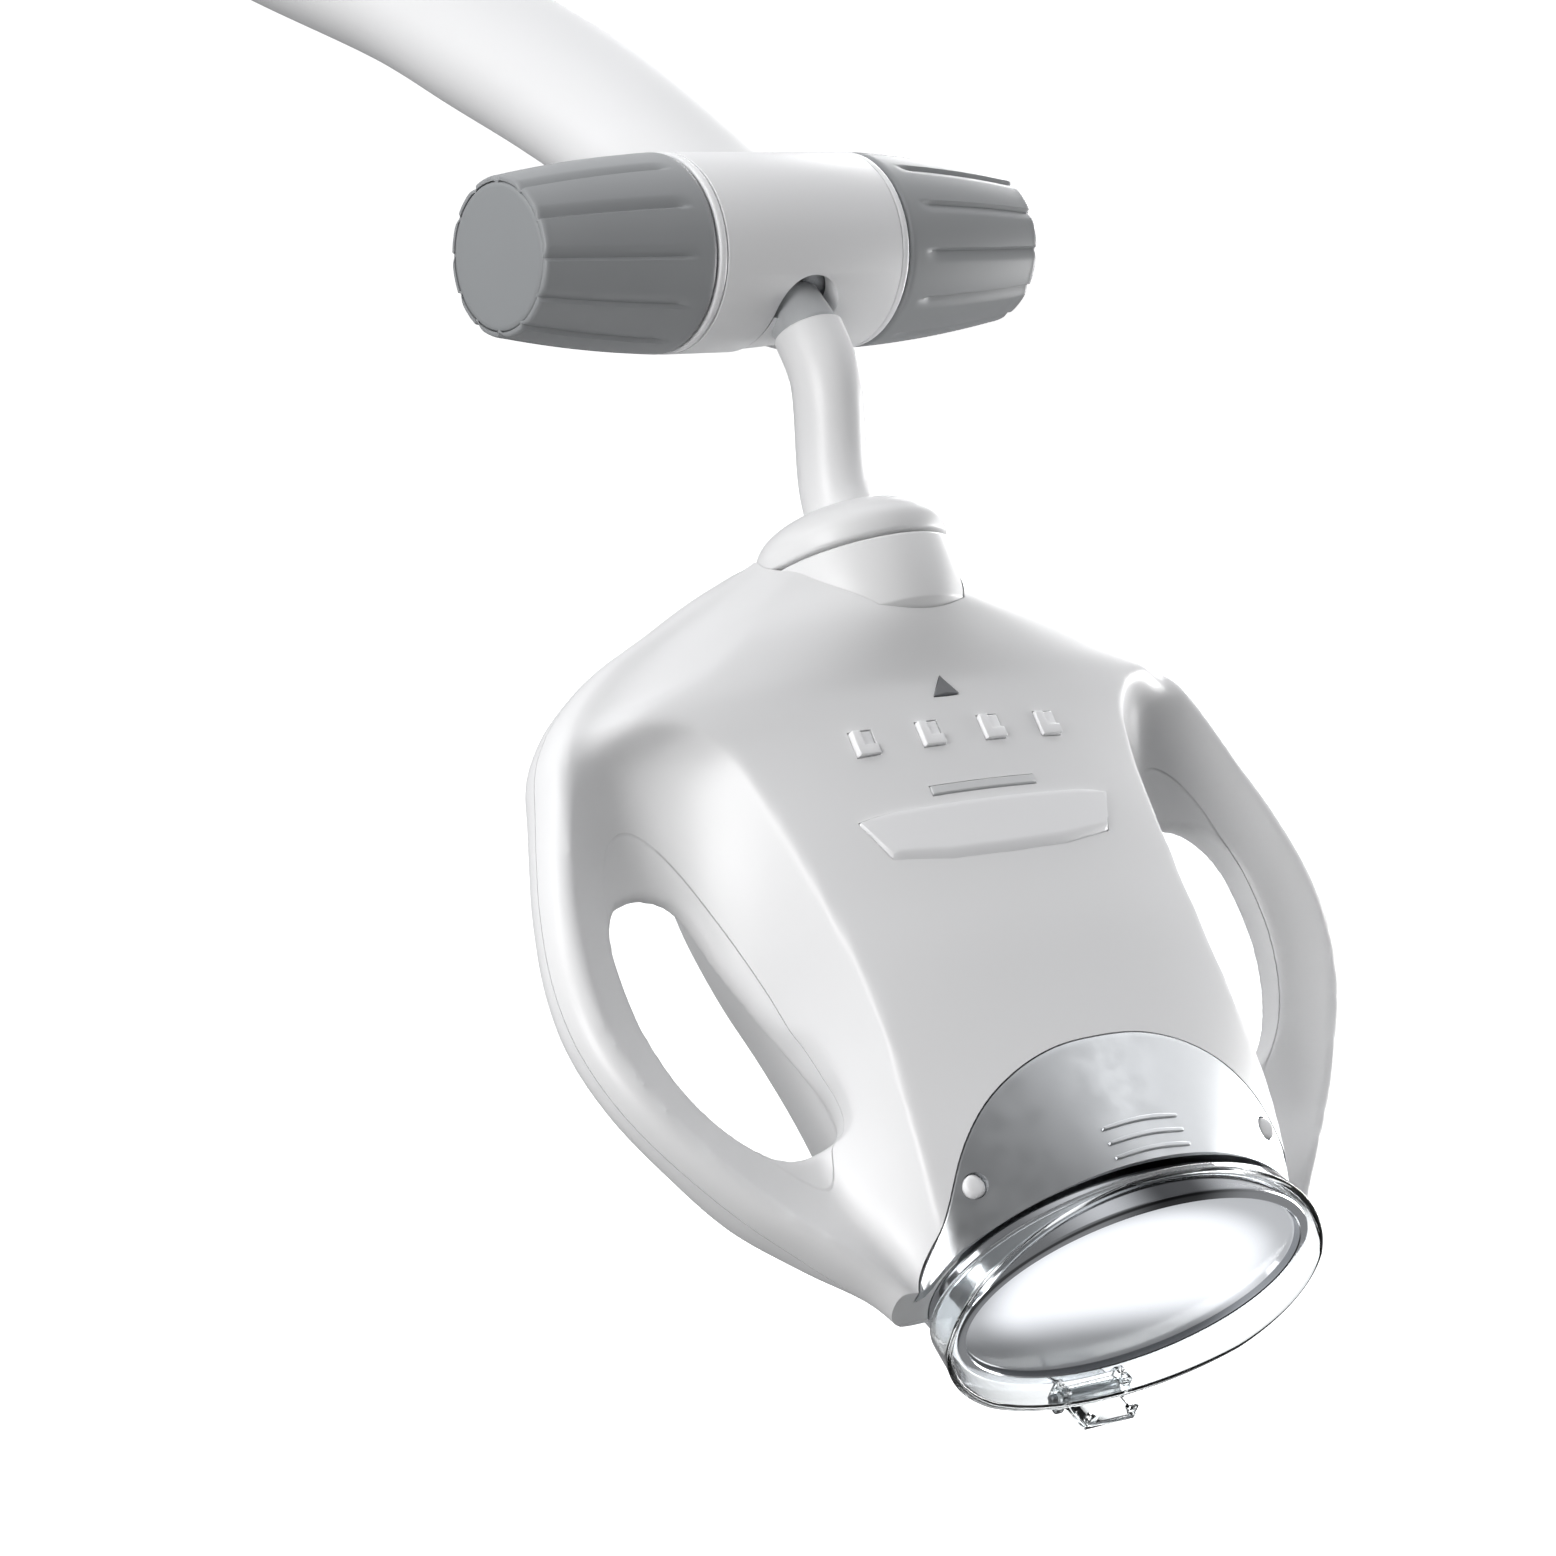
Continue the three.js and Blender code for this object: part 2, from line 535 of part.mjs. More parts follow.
/** The row of the head at a given share of the drop, read between the named rows. */
function rowAt(share) {
  let place = 1;
  while (place < headRows.length - 1 && headRows[place].dropShare < share) place += 1;
  const before = headRows[Math.max(place - 2, 0)];
  const near = headRows[place - 1];
  const far = headRows[place];
  const after = headRows[Math.min(place + 1, headRows.length - 1)];
  const run = far.dropShare - near.dropShare;
  const t = Math.min(Math.max((share - near.dropShare) / run, 0), 1);
  const row = {};
  for (const key of Object.keys(near)) {
    const slopeIn = (run * (far[key] - before[key])) / (far.dropShare - before.dropShare);
    const slopeOut = (run * (after[key] - near[key])) / (after.dropShare - near.dropShare);
    row[key] = (2 * t ** 3 - 3 * t ** 2 + 1) * near[key] + (t ** 3 - 2 * t ** 2 + t) * slopeIn
      + (3 * t ** 2 - 2 * t ** 3) * far[key] + (t ** 3 - t ** 2) * slopeOut;
  }
  return row;
}

// Where the back of a section turns in, between the body and the crest, and how far its edge comes in
const shoulderShare = 0.17;
const backEdgeShare = 0.7;

/** Half of one head section, from the middle of the front round to the middle of the back. */
function halfSection(row) {
  const wide = (share) => share * HEAD_HALF_WIDTH;
  const deep = (share) => share * HEAD_DEPTH;
  const points = [];
  for (const t of [0, 0.25, 0.5, 0.75, 1]) {
    points.push([wide(row.rimShare * t), deep(mix(row.frontShare, row.rimHighShare, t * t))]);
  }
  for (const t of [0.12, 0.35, 0.65, 1]) {
    const fall = 1 - (1 - t) ** 2;
    const reach = mix(row.rimShare, row.dipShare, t);
    points.push([wide(reach), deep(mix(row.rimHighShare, row.dipHighShare, fall))]);
  }
  for (const t of [0.35, 0.7, 1]) {
    const climb = t ** 1.5;
    const reach = mix(row.dipShare, row.crestShare, t);
    points.push([wide(reach), deep(mix(row.dipHighShare, row.crestHighShare, climb))]);
  }
  const middle = (row.crestHighShare + row.backHighShare) / 2;
  const half = (row.crestHighShare - row.backHighShare) / 2;
  for (const degrees of [60, 30, 0, -30, -60, -90]) {
    const angle = THREE.MathUtils.degToRad(degrees);
    points.push([
      wide(row.crestShare + (row.sideShare - row.crestShare) * Math.cos(angle)),
      deep(middle + half * Math.sin(angle)),
    ]);
  }
  const shoulder = mix(row.bodyShare, row.crestShare, shoulderShare);
  points.push([wide(shoulder), deep(row.backHighShare)]);
  for (const t of [0.3, 0.6, 0.85]) {
    points.push([
      wide(mix(shoulder, row.bodyShare * backEdgeShare, t * t)),
      deep(mix(row.backHighShare, row.backShare, Math.sin((t * Math.PI) / 2))),
    ]);
  }
  points.push([0, deep(row.backShare)]);
  return points;
}

/** The full ring of one head section at a drop share. */
function headRing(share) {
  const half = halfSection(rowAt(share));
  const right = half.map(([x, high]) => new THREE.Vector3(x, -high, -share * HEAD_DROP));
  const left = half.slice(1, -1).reverse()
    .map(([x, high]) => new THREE.Vector3(-x, -high, -share * HEAD_DROP));
  return [...right, ...left];
}

const HEAD_STEPS = 27;
const GAP_STEPS = 32;
const topShare = headRows[0].dropShare;
const endShare = headRows[headRows.length - 1].dropShare;
const headSkin = loft(Array.from(
  { length: HEAD_STEPS + 1 },
  (_, step) => headRing(mix(topShare, endShare, step / HEAD_STEPS)),
));

// The finger gap of one grip loop, as pairs of reach share and drop share
const gapShares = [
  [0.63, 0.385], [0.7, 0.37], [0.78, 0.385], [0.83, 0.43], [0.845, 0.5], [0.83, 0.575], [0.79, 0.64],
  [0.73, 0.695], [0.64, 0.733], [0.53, 0.735], [0.44, 0.715], [0.428, 0.685], [0.46, 0.635],
  [0.512, 0.565], [0.57, 0.48],
];

function fingerGap(side) {
  const curve = new THREE.CatmullRomCurve3(gapShares
    .map(([reach, drop]) => new THREE.Vector3(side * reach * HEAD_HALF_WIDTH, 0, -drop * HEAD_DROP)), true);
  const outline = curve.getPoints(GAP_STEPS).slice(0, -1).map((point) => [point.x, point.z]);
  return plate(outline, -HEAD_DEPTH, HEAD_DEPTH);
}

// The port: lens, bezel and the plane that ends the shells, along the port axis
const LENS_HALF_WIDE = 57;
const LENS_HALF_HIGH = 27.5;
const BEZEL_WALL = 3.5;
const BEZEL_DEEP = 27;
const LIP_SETBACK = 12;
const LENS_THICK = 2.5;
const LENS_SINK = 1.5;
const LENS_SEAT = 1.2;
const OVAL_STEPS = 40;
const BEZEL_EDGE = 1;

/** Moves a body made about Z, with the light leaving along -Z, to the port. */
const onPort = (body) => placed(body, -PORT_TILT, 0, 0, -HEAD_DROP);

/** A loft through ovals; each stage holds the place along Z and the two half sizes. */
function ovals(stages, steps = OVAL_STEPS) {
  return loft(stages.map(([z, wide, high]) => Array.from({ length: steps }, (_, step) => {
    const angle = (2 * Math.PI * step) / steps;
    return new THREE.Vector3(wide * Math.cos(angle), high * Math.sin(angle), z);
  })));
}

/** An oval rod grown by a margin. */
const ovalRod = (from, to, grow) => ovals([[from, LENS_HALF_WIDE + grow, LENS_HALF_HIGH + grow],
  [to, LENS_HALF_WIDE + grow, LENS_HALF_HIGH + grow]]);

function bezel() {
  const wide = LENS_HALF_WIDE + BEZEL_WALL;
  const high = LENS_HALF_HIGH + BEZEL_WALL;
  const outer = ovals([
    [-LENS_SINK, wide - BEZEL_EDGE, high - BEZEL_EDGE], [BEZEL_EDGE - LENS_SINK, wide, high],
    [BEZEL_DEEP, wide, high],
  ]);
  const seat = ovalRod(-LENS_SINK - OVERRUN, LENS_THICK + FIT, FIT);
  const through = ovalRod(-LENS_SINK - OVERRUN, BEZEL_DEEP + OVERRUN, -LENS_SEAT);
  return onPort(outer.subtract(seat).subtract(through));
}

const lens = () => onPort(ovalRod(0, LENS_THICK, 0));

const bezelRoom = onPort(ovalRod(-HEAD_DROP, BEZEL_DEEP + FIT, BEZEL_WALL + FIT));
const belowLip = onPort(block(
  0, 0, LIP_SETBACK - HEAD_DROP, 4 * HEAD_HALF_WIDTH, 4 * HEAD_DEPTH, 2 * HEAD_DROP,
));

// The room inside the shells: where it starts and ends along the drop, where the nose begins, and
// the points of its half section as shares of its half width, of the rim's fall and of its depth
const cavityStartShare = 0.1;
const cavityEndShare = 1.03;
const noseShare = 0.66;
const cavityWideShare = 0.93;
const cavityFrontShares = [[0, 0], [0.5, 0.25], [0.92, 0.85]];
const cavitySideShares = [[1, 0.6], [0.94, 0.85]];
const cavityCornerShare = 0.6;
const CAVITY_CORNER_RISE = 1.4;
const CAVITY_STEPS = 11;

/** One ring of the room inside the two shells. */
function cavityRing(share) {
  const row = rowAt(share);
  const half = Math.min(row.rimShare, row.bodyShare) * cavityWideShare * HEAD_HALF_WIDTH;
  const wall = share > noseShare ? NOSE_WALL : FRONT_WALL;
  const rimFall = (row.frontShare - row.rimHighShare) * HEAD_DEPTH;
  const front = row.frontShare * HEAD_DEPTH - wall;
  const back = row.backShare * HEAD_DEPTH + REAR_WALL;
  const outline = [
    ...cavityFrontShares.map(([reach, fall]) => [half * reach, front - rimFall * fall]),
    [half, front - rimFall - FRONT_WALL],
    ...cavitySideShares.map(([reach, way]) => [half * reach, mix(front, back, way)]),
    [half * cavityCornerShare, back + CAVITY_CORNER_RISE],
    [0, back],
  ];
  const right = outline.map(([x, high]) => new THREE.Vector3(x, -high, -share * HEAD_DROP));
  const left = outline.slice(1, -1).reverse()
    .map(([x, high]) => new THREE.Vector3(-x, -high, -share * HEAD_DROP));
  return [...right, ...left];
}

const cavity = () => loft(Array.from(
  { length: CAVITY_STEPS + 1 },
  (_, step) => cavityRing(mix(cavityStartShare, cavityEndShare, step / CAVITY_STEPS)),
));

// A skin over the front of the head: an outline, how far it stands out and how deep it sits
function frontSkin(outline, above, below) {
  const column = plate(outline, -HEAD_DEPTH, -PARTING - 2 * FRONT_WALL);
  return headSkin.translate([0, -above, 0]).subtract(headSkin.translate([0, below, 0])).intersect(column);
}

/** An outline given as pairs of reach and drop, mirrored to the other side. */
function mirrored(pairs) {
  const right = pairs.map(([x, drop]) => [x, -drop]);
  const left = pairs.slice().reverse().filter(([x]) => x > 0).map(([x, drop]) => [-x, -drop]);
  return [...right, ...left];
}

/** A mirrored outline from shares of a half width and of a height, grown by a margin. */
function grown(shares, half, drop, high, grow) {
  return mirrored(shares.map(([reach, fall]) => [
    reach * (half + grow), drop - grow + fall * (high + 2 * grow),
  ]));
}

/** The height of the front skin at a reach and a drop. */
function frontHeight(x, drop) {
  const row = rowAt(drop / HEAD_DROP);
  const share = Math.abs(x) / (row.rimShare * HEAD_HALF_WIDTH);
  return HEAD_DEPTH * mix(row.frontShare, row.rimHighShare, share * share);
}

// Badge plate, left bare, with the status bar above it and the status marker at the top
const BADGE_RISE = 0.8;
const BADGE_SINK = 1;
const BADGE_DROP = 76;
const BADGE_HALF = 43;
const BADGE_HIGH = 15;
const badgeShares = [[0, 0], [0.7, 0], [1, 0.07], [0.88, 0.8], [0.46, 0.97], [0, 1]];
const BAR_DROP = 70.4;
const BAR_HALF = 18;
const BAR_HIGH = 2.4;
const barShares = [[0, 0], [1, 0], [1, 1], [0, 1]];
const MARKER_DROP = 39.5;
const MARKER_HALF = 4.2;
const MARKER_HIGH = 5.5;
const markerShares = [[0, 0], [1, 1], [0, 1]];

const badgeOutline = (grow) => grown(badgeShares, BADGE_HALF, BADGE_DROP, BADGE_HIGH, grow);
const barOutline = (grow) => grown(barShares, BAR_HALF, BAR_DROP, BAR_HIGH, grow);
const markerOutline = (grow) => grown(markerShares, MARKER_HALF, MARKER_DROP, MARKER_HIGH, 2 * grow);

// Keys, in a row under the marker, and the board that they press on
const KEY_SIDE = 7;
const KEY_DROP = 55.5;
const KEY_OUTER = 32;
const KEY_INNER = 10.7;
const KEY_REACHES = [-KEY_OUTER, -KEY_INNER, KEY_INNER, KEY_OUTER];
const KEY_RISE = 1.3;
const KEY_TRAVEL = 0.8;
const NOTCH_DEEP = 0.6;
const notchPlaceShare = 0.22;
const notchSideShare = 0.62;
const SKIRT_SIDE = 9.4;
const SKIRT_THICK = 1.2;
const SKIRT_FRONT = 8.6;
const PLUNGER_SIDE = 3;
const BOARD_FRONT = 4.6;
const BOARD_THICK = 1.6;
const BOARD_WIDE = 84;
const BOARD_HIGH = 44;
const BOARD_DROP = 59.5;
const CHIP_HIGH = 2.4;
const CHIP_SINK = 0.2;
// Chips as shares of the board: reach, height on the board and side
const chipShares = [[-0.28, -0.22, 0.14], [0.1, -0.25, 0.12], [0.33, -0.18, 0.1]];
const POST_RADIUS = 2.5;
const POST_INSET = 4;

function key(x) {
  const top = frontHeight(x, KEY_DROP) + KEY_RISE;
  const skirt = SKIRT_FRONT;
  const cap = block(x, -(top + skirt) / 2, -KEY_DROP, KEY_SIDE, top - skirt, KEY_SIDE);
  const shift = KEY_SIDE * notchPlaceShare;
  const side = KEY_SIDE * notchSideShare;
  const notch = block(x + shift, -top, shift - KEY_DROP, side, 2 * NOTCH_DEEP, side);
  const flange = block(x, SKIRT_THICK / 2 - skirt, -KEY_DROP, SKIRT_SIDE, SKIRT_THICK, SKIRT_SIDE);
  const foot = BOARD_FRONT + KEY_TRAVEL + FIT;
  const plunger = block(x, -(foot + skirt) / 2, -KEY_DROP, PLUNGER_SIDE, skirt - foot, PLUNGER_SIDE);
  return cap.subtract(notch).add(flange).add(plunger);
}

function keyHoles() {
  const side = KEY_SIDE + 2 * FIT;
  const far = HEAD_DEPTH / 2;
  return wasm.Manifold.union(KEY_REACHES.map((x) => block(
    x, -(far + BOARD_FRONT) / 2, -KEY_DROP, side, far - BOARD_FRONT, side,
  )));
}

function controlBoard() {
  const base = block(0, BOARD_THICK / 2 - BOARD_FRONT, -BOARD_DROP, BOARD_WIDE, BOARD_THICK, BOARD_HIGH);
  const back = BOARD_THICK - BOARD_FRONT - CHIP_SINK;
  const chips = chipShares.map(([reach, rise, size]) => block(
    reach * BOARD_WIDE, back + CHIP_HIGH / 2, rise * BOARD_HIGH - BOARD_DROP,
    size * BOARD_WIDE, CHIP_HIGH, size * BOARD_WIDE,
  ));
  return base.add(wasm.Manifold.union(chips));
}

/** The posts inside the front shell that the control board rests on. */
function boardPosts() {
  const reach = BOARD_WIDE / 2 - POST_INSET;
  const posts = [];
  for (const side of [-1, 1]) {
    for (const end of [-1, 1]) {
      const drop = BOARD_DROP + end * (BOARD_HIGH / 2 - POST_INSET);
      const top = frontHeight(reach, drop) - FRONT_WALL / 2;
      posts.push(turnedZ(barProfile(BOARD_FRONT + FIT, top, POST_RADIUS), SMALL_STEPS)
        .rotate([90, 0, 0]).translate([side * reach, 0, -drop]));
    }
  }
  return wasm.Manifold.union(posts);
}

// Fan, standing across the head behind the vents
const FAN_THICK = 15;
const FAN_DROP = 104;
const FAN_CLEAR = 6;
const FAN_RIM = 2;
const fanRow = rowAt(FAN_DROP / HEAD_DROP);
const fanCeiling = fanRow.frontShare * HEAD_DEPTH - FRONT_WALL;
const fanFloor = fanRow.backShare * HEAD_DEPTH + REAR_WALL;
const FAN_SIDE = fanCeiling - fanFloor - 2 * FAN_CLEAR;
const FAN_HIGH = (fanCeiling + fanFloor) / 2;
const FAN_BORE = FAN_SIDE / 2 - FAN_RIM;
const FAN_HUB = 10;
const FAN_AXLE = 1.5;
const SPOKE_WIDE = 3;
const SPOKE_THICK = 1.5;
const AXLE_SHORT = 3;
const ROTOR_TOP = 1;
const ROTOR_FLOOR = 2;
const ROTOR_LID = 1.2;
const BLADE_COUNT = 7;
const BLADE_THICK = 1.4;
const BLADE_WIDE = 9;
const BLADE_PITCH = 35;
const TIP_GAP = 2;
const RIB_HIGH = 12;
const RIB_SHORT = 3;
const ribReachShare = 0.365;
const onFan = (body) => body.translate([0, -FAN_HIGH, -FAN_DROP]);

function fanFrame() {
  const frame = block(0, 0, 0, FAN_SIDE, FAN_SIDE, FAN_THICK);
  const bore = turnedZ(barProfile(-FAN_THICK, FAN_THICK, FAN_BORE), ROUND_STEPS);
  const floor = -FAN_THICK / 2;
  const spokes = [0, 60, 120].map((angle) => block(
    0, 0, floor + SPOKE_THICK / 2, 2 * (FAN_BORE + FIT), SPOKE_WIDE, SPOKE_THICK,
  ).rotate([0, 0, angle]));
  const motor = turnedZ(barProfile(floor, floor + SPOKE_THICK, FAN_HUB), SMALL_STEPS);
  const axle = turnedZ(barProfile(floor, FAN_THICK / 2 - AXLE_SHORT, FAN_AXLE), SMALL_STEPS);
  return onFan(frame.subtract(bore).add(wasm.Manifold.union(spokes)).add(motor).add(axle));
}

function fanRotor() {
  const floor = ROTOR_FLOOR - FAN_THICK / 2;
  const top = FAN_THICK / 2 - ROTOR_TOP;
  const hub = turnedZ(barProfile(floor, top, FAN_HUB), SMALL_STEPS);
  const root = FAN_HUB / 2;
  const tip = FAN_BORE - TIP_GAP;
  const blades = Array.from({ length: BLADE_COUNT }, (_, step) => block(
    (root + tip) / 2, 0, 0, tip - root, BLADE_THICK, BLADE_WIDE,
  ).rotate([BLADE_PITCH, 0, 0]).rotate([0, 0, (360 * step) / BLADE_COUNT])
    .translate([0, 0, (floor + top) / 2]));
  const bore = turnedZ(barProfile(floor - OVERRUN, top - ROTOR_LID, FAN_AXLE + FIT), SMALL_STEPS);
  return onFan(hub.add(wasm.Manifold.union(blades)).subtract(bore));
}

/** The ribs inside the rear shell that the fan sits between. */
function fanRibs() {
  const start = FAN_SIDE / 2 + FIT;
  const reach = ribReachShare * HEAD_HALF_WIDTH;
  const from = -PARTING + FIT;
  const to = FAN_SIDE / 2 - FAN_HIGH - RIB_SHORT;
  return wasm.Manifold.union([-1, 1].map((side) => block(
    (side * (start + reach)) / 2, (from + to) / 2, -FAN_DROP, reach - start, to - from, RIB_HIGH,
  )));
}

// Light engine behind the lens: reflector, board with its lamps, and a heat sink on the bezel
const ENGINE_WIDE = 66;
const ENGINE_HIGH = 34;
const ENGINE_BACK = BEZEL_DEEP - BOARD_THICK;
const REFLECTOR_WALL = 1.5;
const throatShare = 0.42;
const LAMP_COUNT = 5;
const LAMP_RADIUS = 2.4;
const LAMP_HIGH = 1.2;
const LAMP_PITCH = 9.4;
const SINK_FOOT = 4;
const SINK_OVERLAP = 1.5;
const FIN_COUNT = 9;
const FIN_THICK = 1.6;
const FIN_HIGH = 16;

function reflector() {
  const mouth = -LENS_SEAT - FIT;
  const throat = -LENS_HALF_HIGH * throatShare;
  const from = LENS_THICK + FIT;
  const to = ENGINE_BACK - FIT;
  const cone = (start, end, grow) => ovals([
    [start, LENS_HALF_WIDE + mouth + grow, LENS_HALF_HIGH + mouth + grow],
    [end, LENS_HALF_WIDE + throat + grow, LENS_HALF_HIGH + throat + grow],
  ]);
  return onPort(cone(from, to, 0).subtract(cone(from - OVERRUN, to + OVERRUN, -REFLECTOR_WALL)));
}

function lightBoard() {
  const base = block(0, 0, ENGINE_BACK + BOARD_THICK / 2, ENGINE_WIDE, ENGINE_HIGH, BOARD_THICK);
  const lamps = Array.from({ length: LAMP_COUNT }, (_, step) => turnedZ(
    barProfile(ENGINE_BACK - LAMP_HIGH, ENGINE_BACK + FIT, LAMP_RADIUS), SMALL_STEPS,
  ).translate([(step - (LAMP_COUNT - 1) / 2) * LAMP_PITCH, 0, 0]));
  return onPort(base.add(wasm.Manifold.union(lamps)));
}

/** The oval foot of the heat sink, whose tips rest on the rear rim of the bezel. */
function sinkFoot(grow) {
  const wide = LENS_HALF_WIDE + SINK_OVERLAP + grow;
  const high = LENS_HALF_HIGH - LENS_SEAT + grow;
  const start = BEZEL_DEEP + FIT - grow;
  return ovals([[start, wide, high], [start + SINK_FOOT + 2 * grow, wide, high]]);
}

function heatSink() {
  const top = BEZEL_DEEP + FIT + SINK_FOOT;
  const reach = (ENGINE_WIDE - FIN_THICK) / 2;
  const fins = Array.from({ length: FIN_COUNT }, (_, step) => block(
    mix(-reach, reach, step / (FIN_COUNT - 1)), 0, top + (FIN_HIGH - FIT) / 2,
    FIN_THICK, ENGINE_HIGH, FIN_HIGH + FIT,
  ));
  return onPort(sinkFoot(0).add(wasm.Manifold.union(fins)));
}

// Neck barrel, which turns under the collar
const BARREL_LONG = 22;
const BARREL_EDGE = 3;

function neckBarrelBody(grow) {
  const radius = NECK_RADIUS + grow;
  return turnedZ([
    [grow - GROOVE_GAP, 0], [grow - GROOVE_GAP, radius], [BARREL_EDGE - BARREL_LONG, radius],
    [-BARREL_LONG - grow, radius - BARREL_EDGE], [-BARREL_LONG - grow, 0],
  ], ROUND_STEPS);
}

function neckBarrel() {
  const socket = turnedZ(barProfile(-PIN_DROP - FIT, OVERRUN, PIN_RADIUS + FIT), PIN_STEPS);
  return onNeck(neckBarrelBody(0).subtract(socket));
}

/** Turns a body of the outer frame into the head frame. */
const intoHead = (body) => body.translate([0, -HEAD_Y, -HEAD_Z]).rotate([HEAD_TILT, 0, 0]);

// Shell screws, driven in from the back of the grip loops
const SHELL_SCREW_SHANK = 1.6;
const SHELL_SCREW_HEAD = 3.4;
const SHELL_SCREW_HEAD_HIGH = 2.4;
const SHELL_SCREW_SINK = 1;
const SHELL_SCREW_DEEP = 8;
const shellScrewShares = [[0.87, 0.35], [0.72, 0.8]];
const shellScrewPlaces = [-1, 1].flatMap((side) => shellScrewShares
  .map(([reach, drop]) => [side * reach * HEAD_HALF_WIDTH, drop * HEAD_DROP]));

function shellScrewBody(x, drop, grow) {
  const back = -rowAt(drop / HEAD_DROP).backHighShare * HEAD_DEPTH;
  const under = back - SHELL_SCREW_SINK - SHELL_SCREW_HEAD_HIGH - grow;
  const top = grow > 0 ? back + 3 * OVERRUN : back - SHELL_SCREW_SINK;
  return turnedZ([
    [under - SHELL_SCREW_DEEP, 0], [under - SHELL_SCREW_DEEP, SHELL_SCREW_SHANK + grow],
    [under, SHELL_SCREW_SHANK + grow], [under, SHELL_SCREW_HEAD + grow],
    [top, SHELL_SCREW_HEAD + grow], [top, 0],
  ], SMALL_STEPS).rotate([-90, 0, 0]).translate([x, 0, -drop]);
}

// Vents in the back
const VENT_COUNT = 7;
const VENT_HIGH = 3;
const VENT_PITCH = 7;
const VENT_HALF = 26;
const VENT_DROP = 62;
const ventFromShare = 0.37;
const ventToShare = 0.87;

function vents() {
  const from = HEAD_DEPTH * ventFromShare;
  const to = HEAD_DEPTH * ventToShare;
  return wasm.Manifold.union(Array.from({ length: VENT_COUNT }, (_, step) => block(
    0, (from + to) / 2, -VENT_DROP - step * VENT_PITCH, 2 * VENT_HALF, to - from, VENT_HIGH,
  )));
}

// Visor: a silver skin over the nose, with an arched upper edge, three ridges and two studs
const VISOR_THICK = 3;
const LIP_EDGE = 1.2;
// The arch of the visor as shares of HEAD_HALF_WIDTH and of HEAD_DROP
const visorShares = [
  [0, 0.711], [0.122, 0.716], [0.236, 0.738], [0.327, 0.772], [0.395, 0.818], [0.441, 0.871],
  [0.487, 0.93], [0.525, 0.993],
];
const RIDGE_COUNT = 3;
const RIDGE_HALF = 13;
const RIDGE_HIGH = 1.6;
const RIDGE_BOW = 1;
const RIDGE_RISE = 0.6;
const RIDGE_FALL = 20;
const ridgeStart = visorShares[0][1] * HEAD_DROP + RIDGE_FALL;
const RIDGE_PITCH = 4.6;
const STUD_RADIUS = 3;
const STUD_INSET = 7;
const STUD_LIFT = 2.9;
const [studReachShare, studDropShare] = visorShares[5];
const studReach = studReachShare * HEAD_HALF_WIDTH - STUD_INSET;
const studDrop = studDropShare * HEAD_DROP - STUD_LIFT;
const STUD_RISE = 0.9;
const STUD_SINK = 0.4;

function visorOutline(grow) {
  const arch = visorShares.map(([reach, drop]) => [
    reach * HEAD_HALF_WIDTH + (reach > 0 ? grow : 0), drop * HEAD_DROP - grow,
  ]);
  const [reach] = arch[arch.length - 1];
  return mirrored([...arch, [reach, HEAD_DROP + HEAD_DEPTH]]);
}

/** One ridge of the visor, counted from the top. */
function visorRidge(step) {
  const drop = ridgeStart + step * RIDGE_PITCH;
  return frontSkin(mirrored([
    [0, drop], [RIDGE_HALF, drop + RIDGE_BOW], [RIDGE_HALF, drop + RIDGE_BOW + RIDGE_HIGH],
    [0, drop + RIDGE_HIGH],
  ]), RIDGE_RISE, VISOR_THICK / 2);
}

function visorStud(side, grow) {
  const high = frontHeight(studReach, studDrop);
  const top = grow > 0 ? 2 * OVERRUN : STUD_RISE;
  const rod = turnedZ(barProfile(FIT - VISOR_THICK - grow, top, STUD_RADIUS + grow), SMALL_STEPS);
  return rod.rotate([90, 0, 0]).translate([side * studReach, STUD_SINK - high, -studDrop]);
}

const studRooms = wasm.Manifold.union([-1, 1].map((side) => visorStud(side, FIT)));

function visor() {
  const ridges = Array.from({ length: RIDGE_COUNT }, (_, step) => visorRidge(step));
  const body = frontSkin(visorOutline(0), 0, VISOR_THICK).add(wasm.Manifold.union(ridges));
  const lipRoom = onPort(ovalRod(-HEAD_DROP, BEZEL_DEEP + FIT, BEZEL_WALL + FIT + LIP_EDGE));
  return body.subtract(wasm.Manifold.union([belowLip, lipRoom, studRooms]));
}

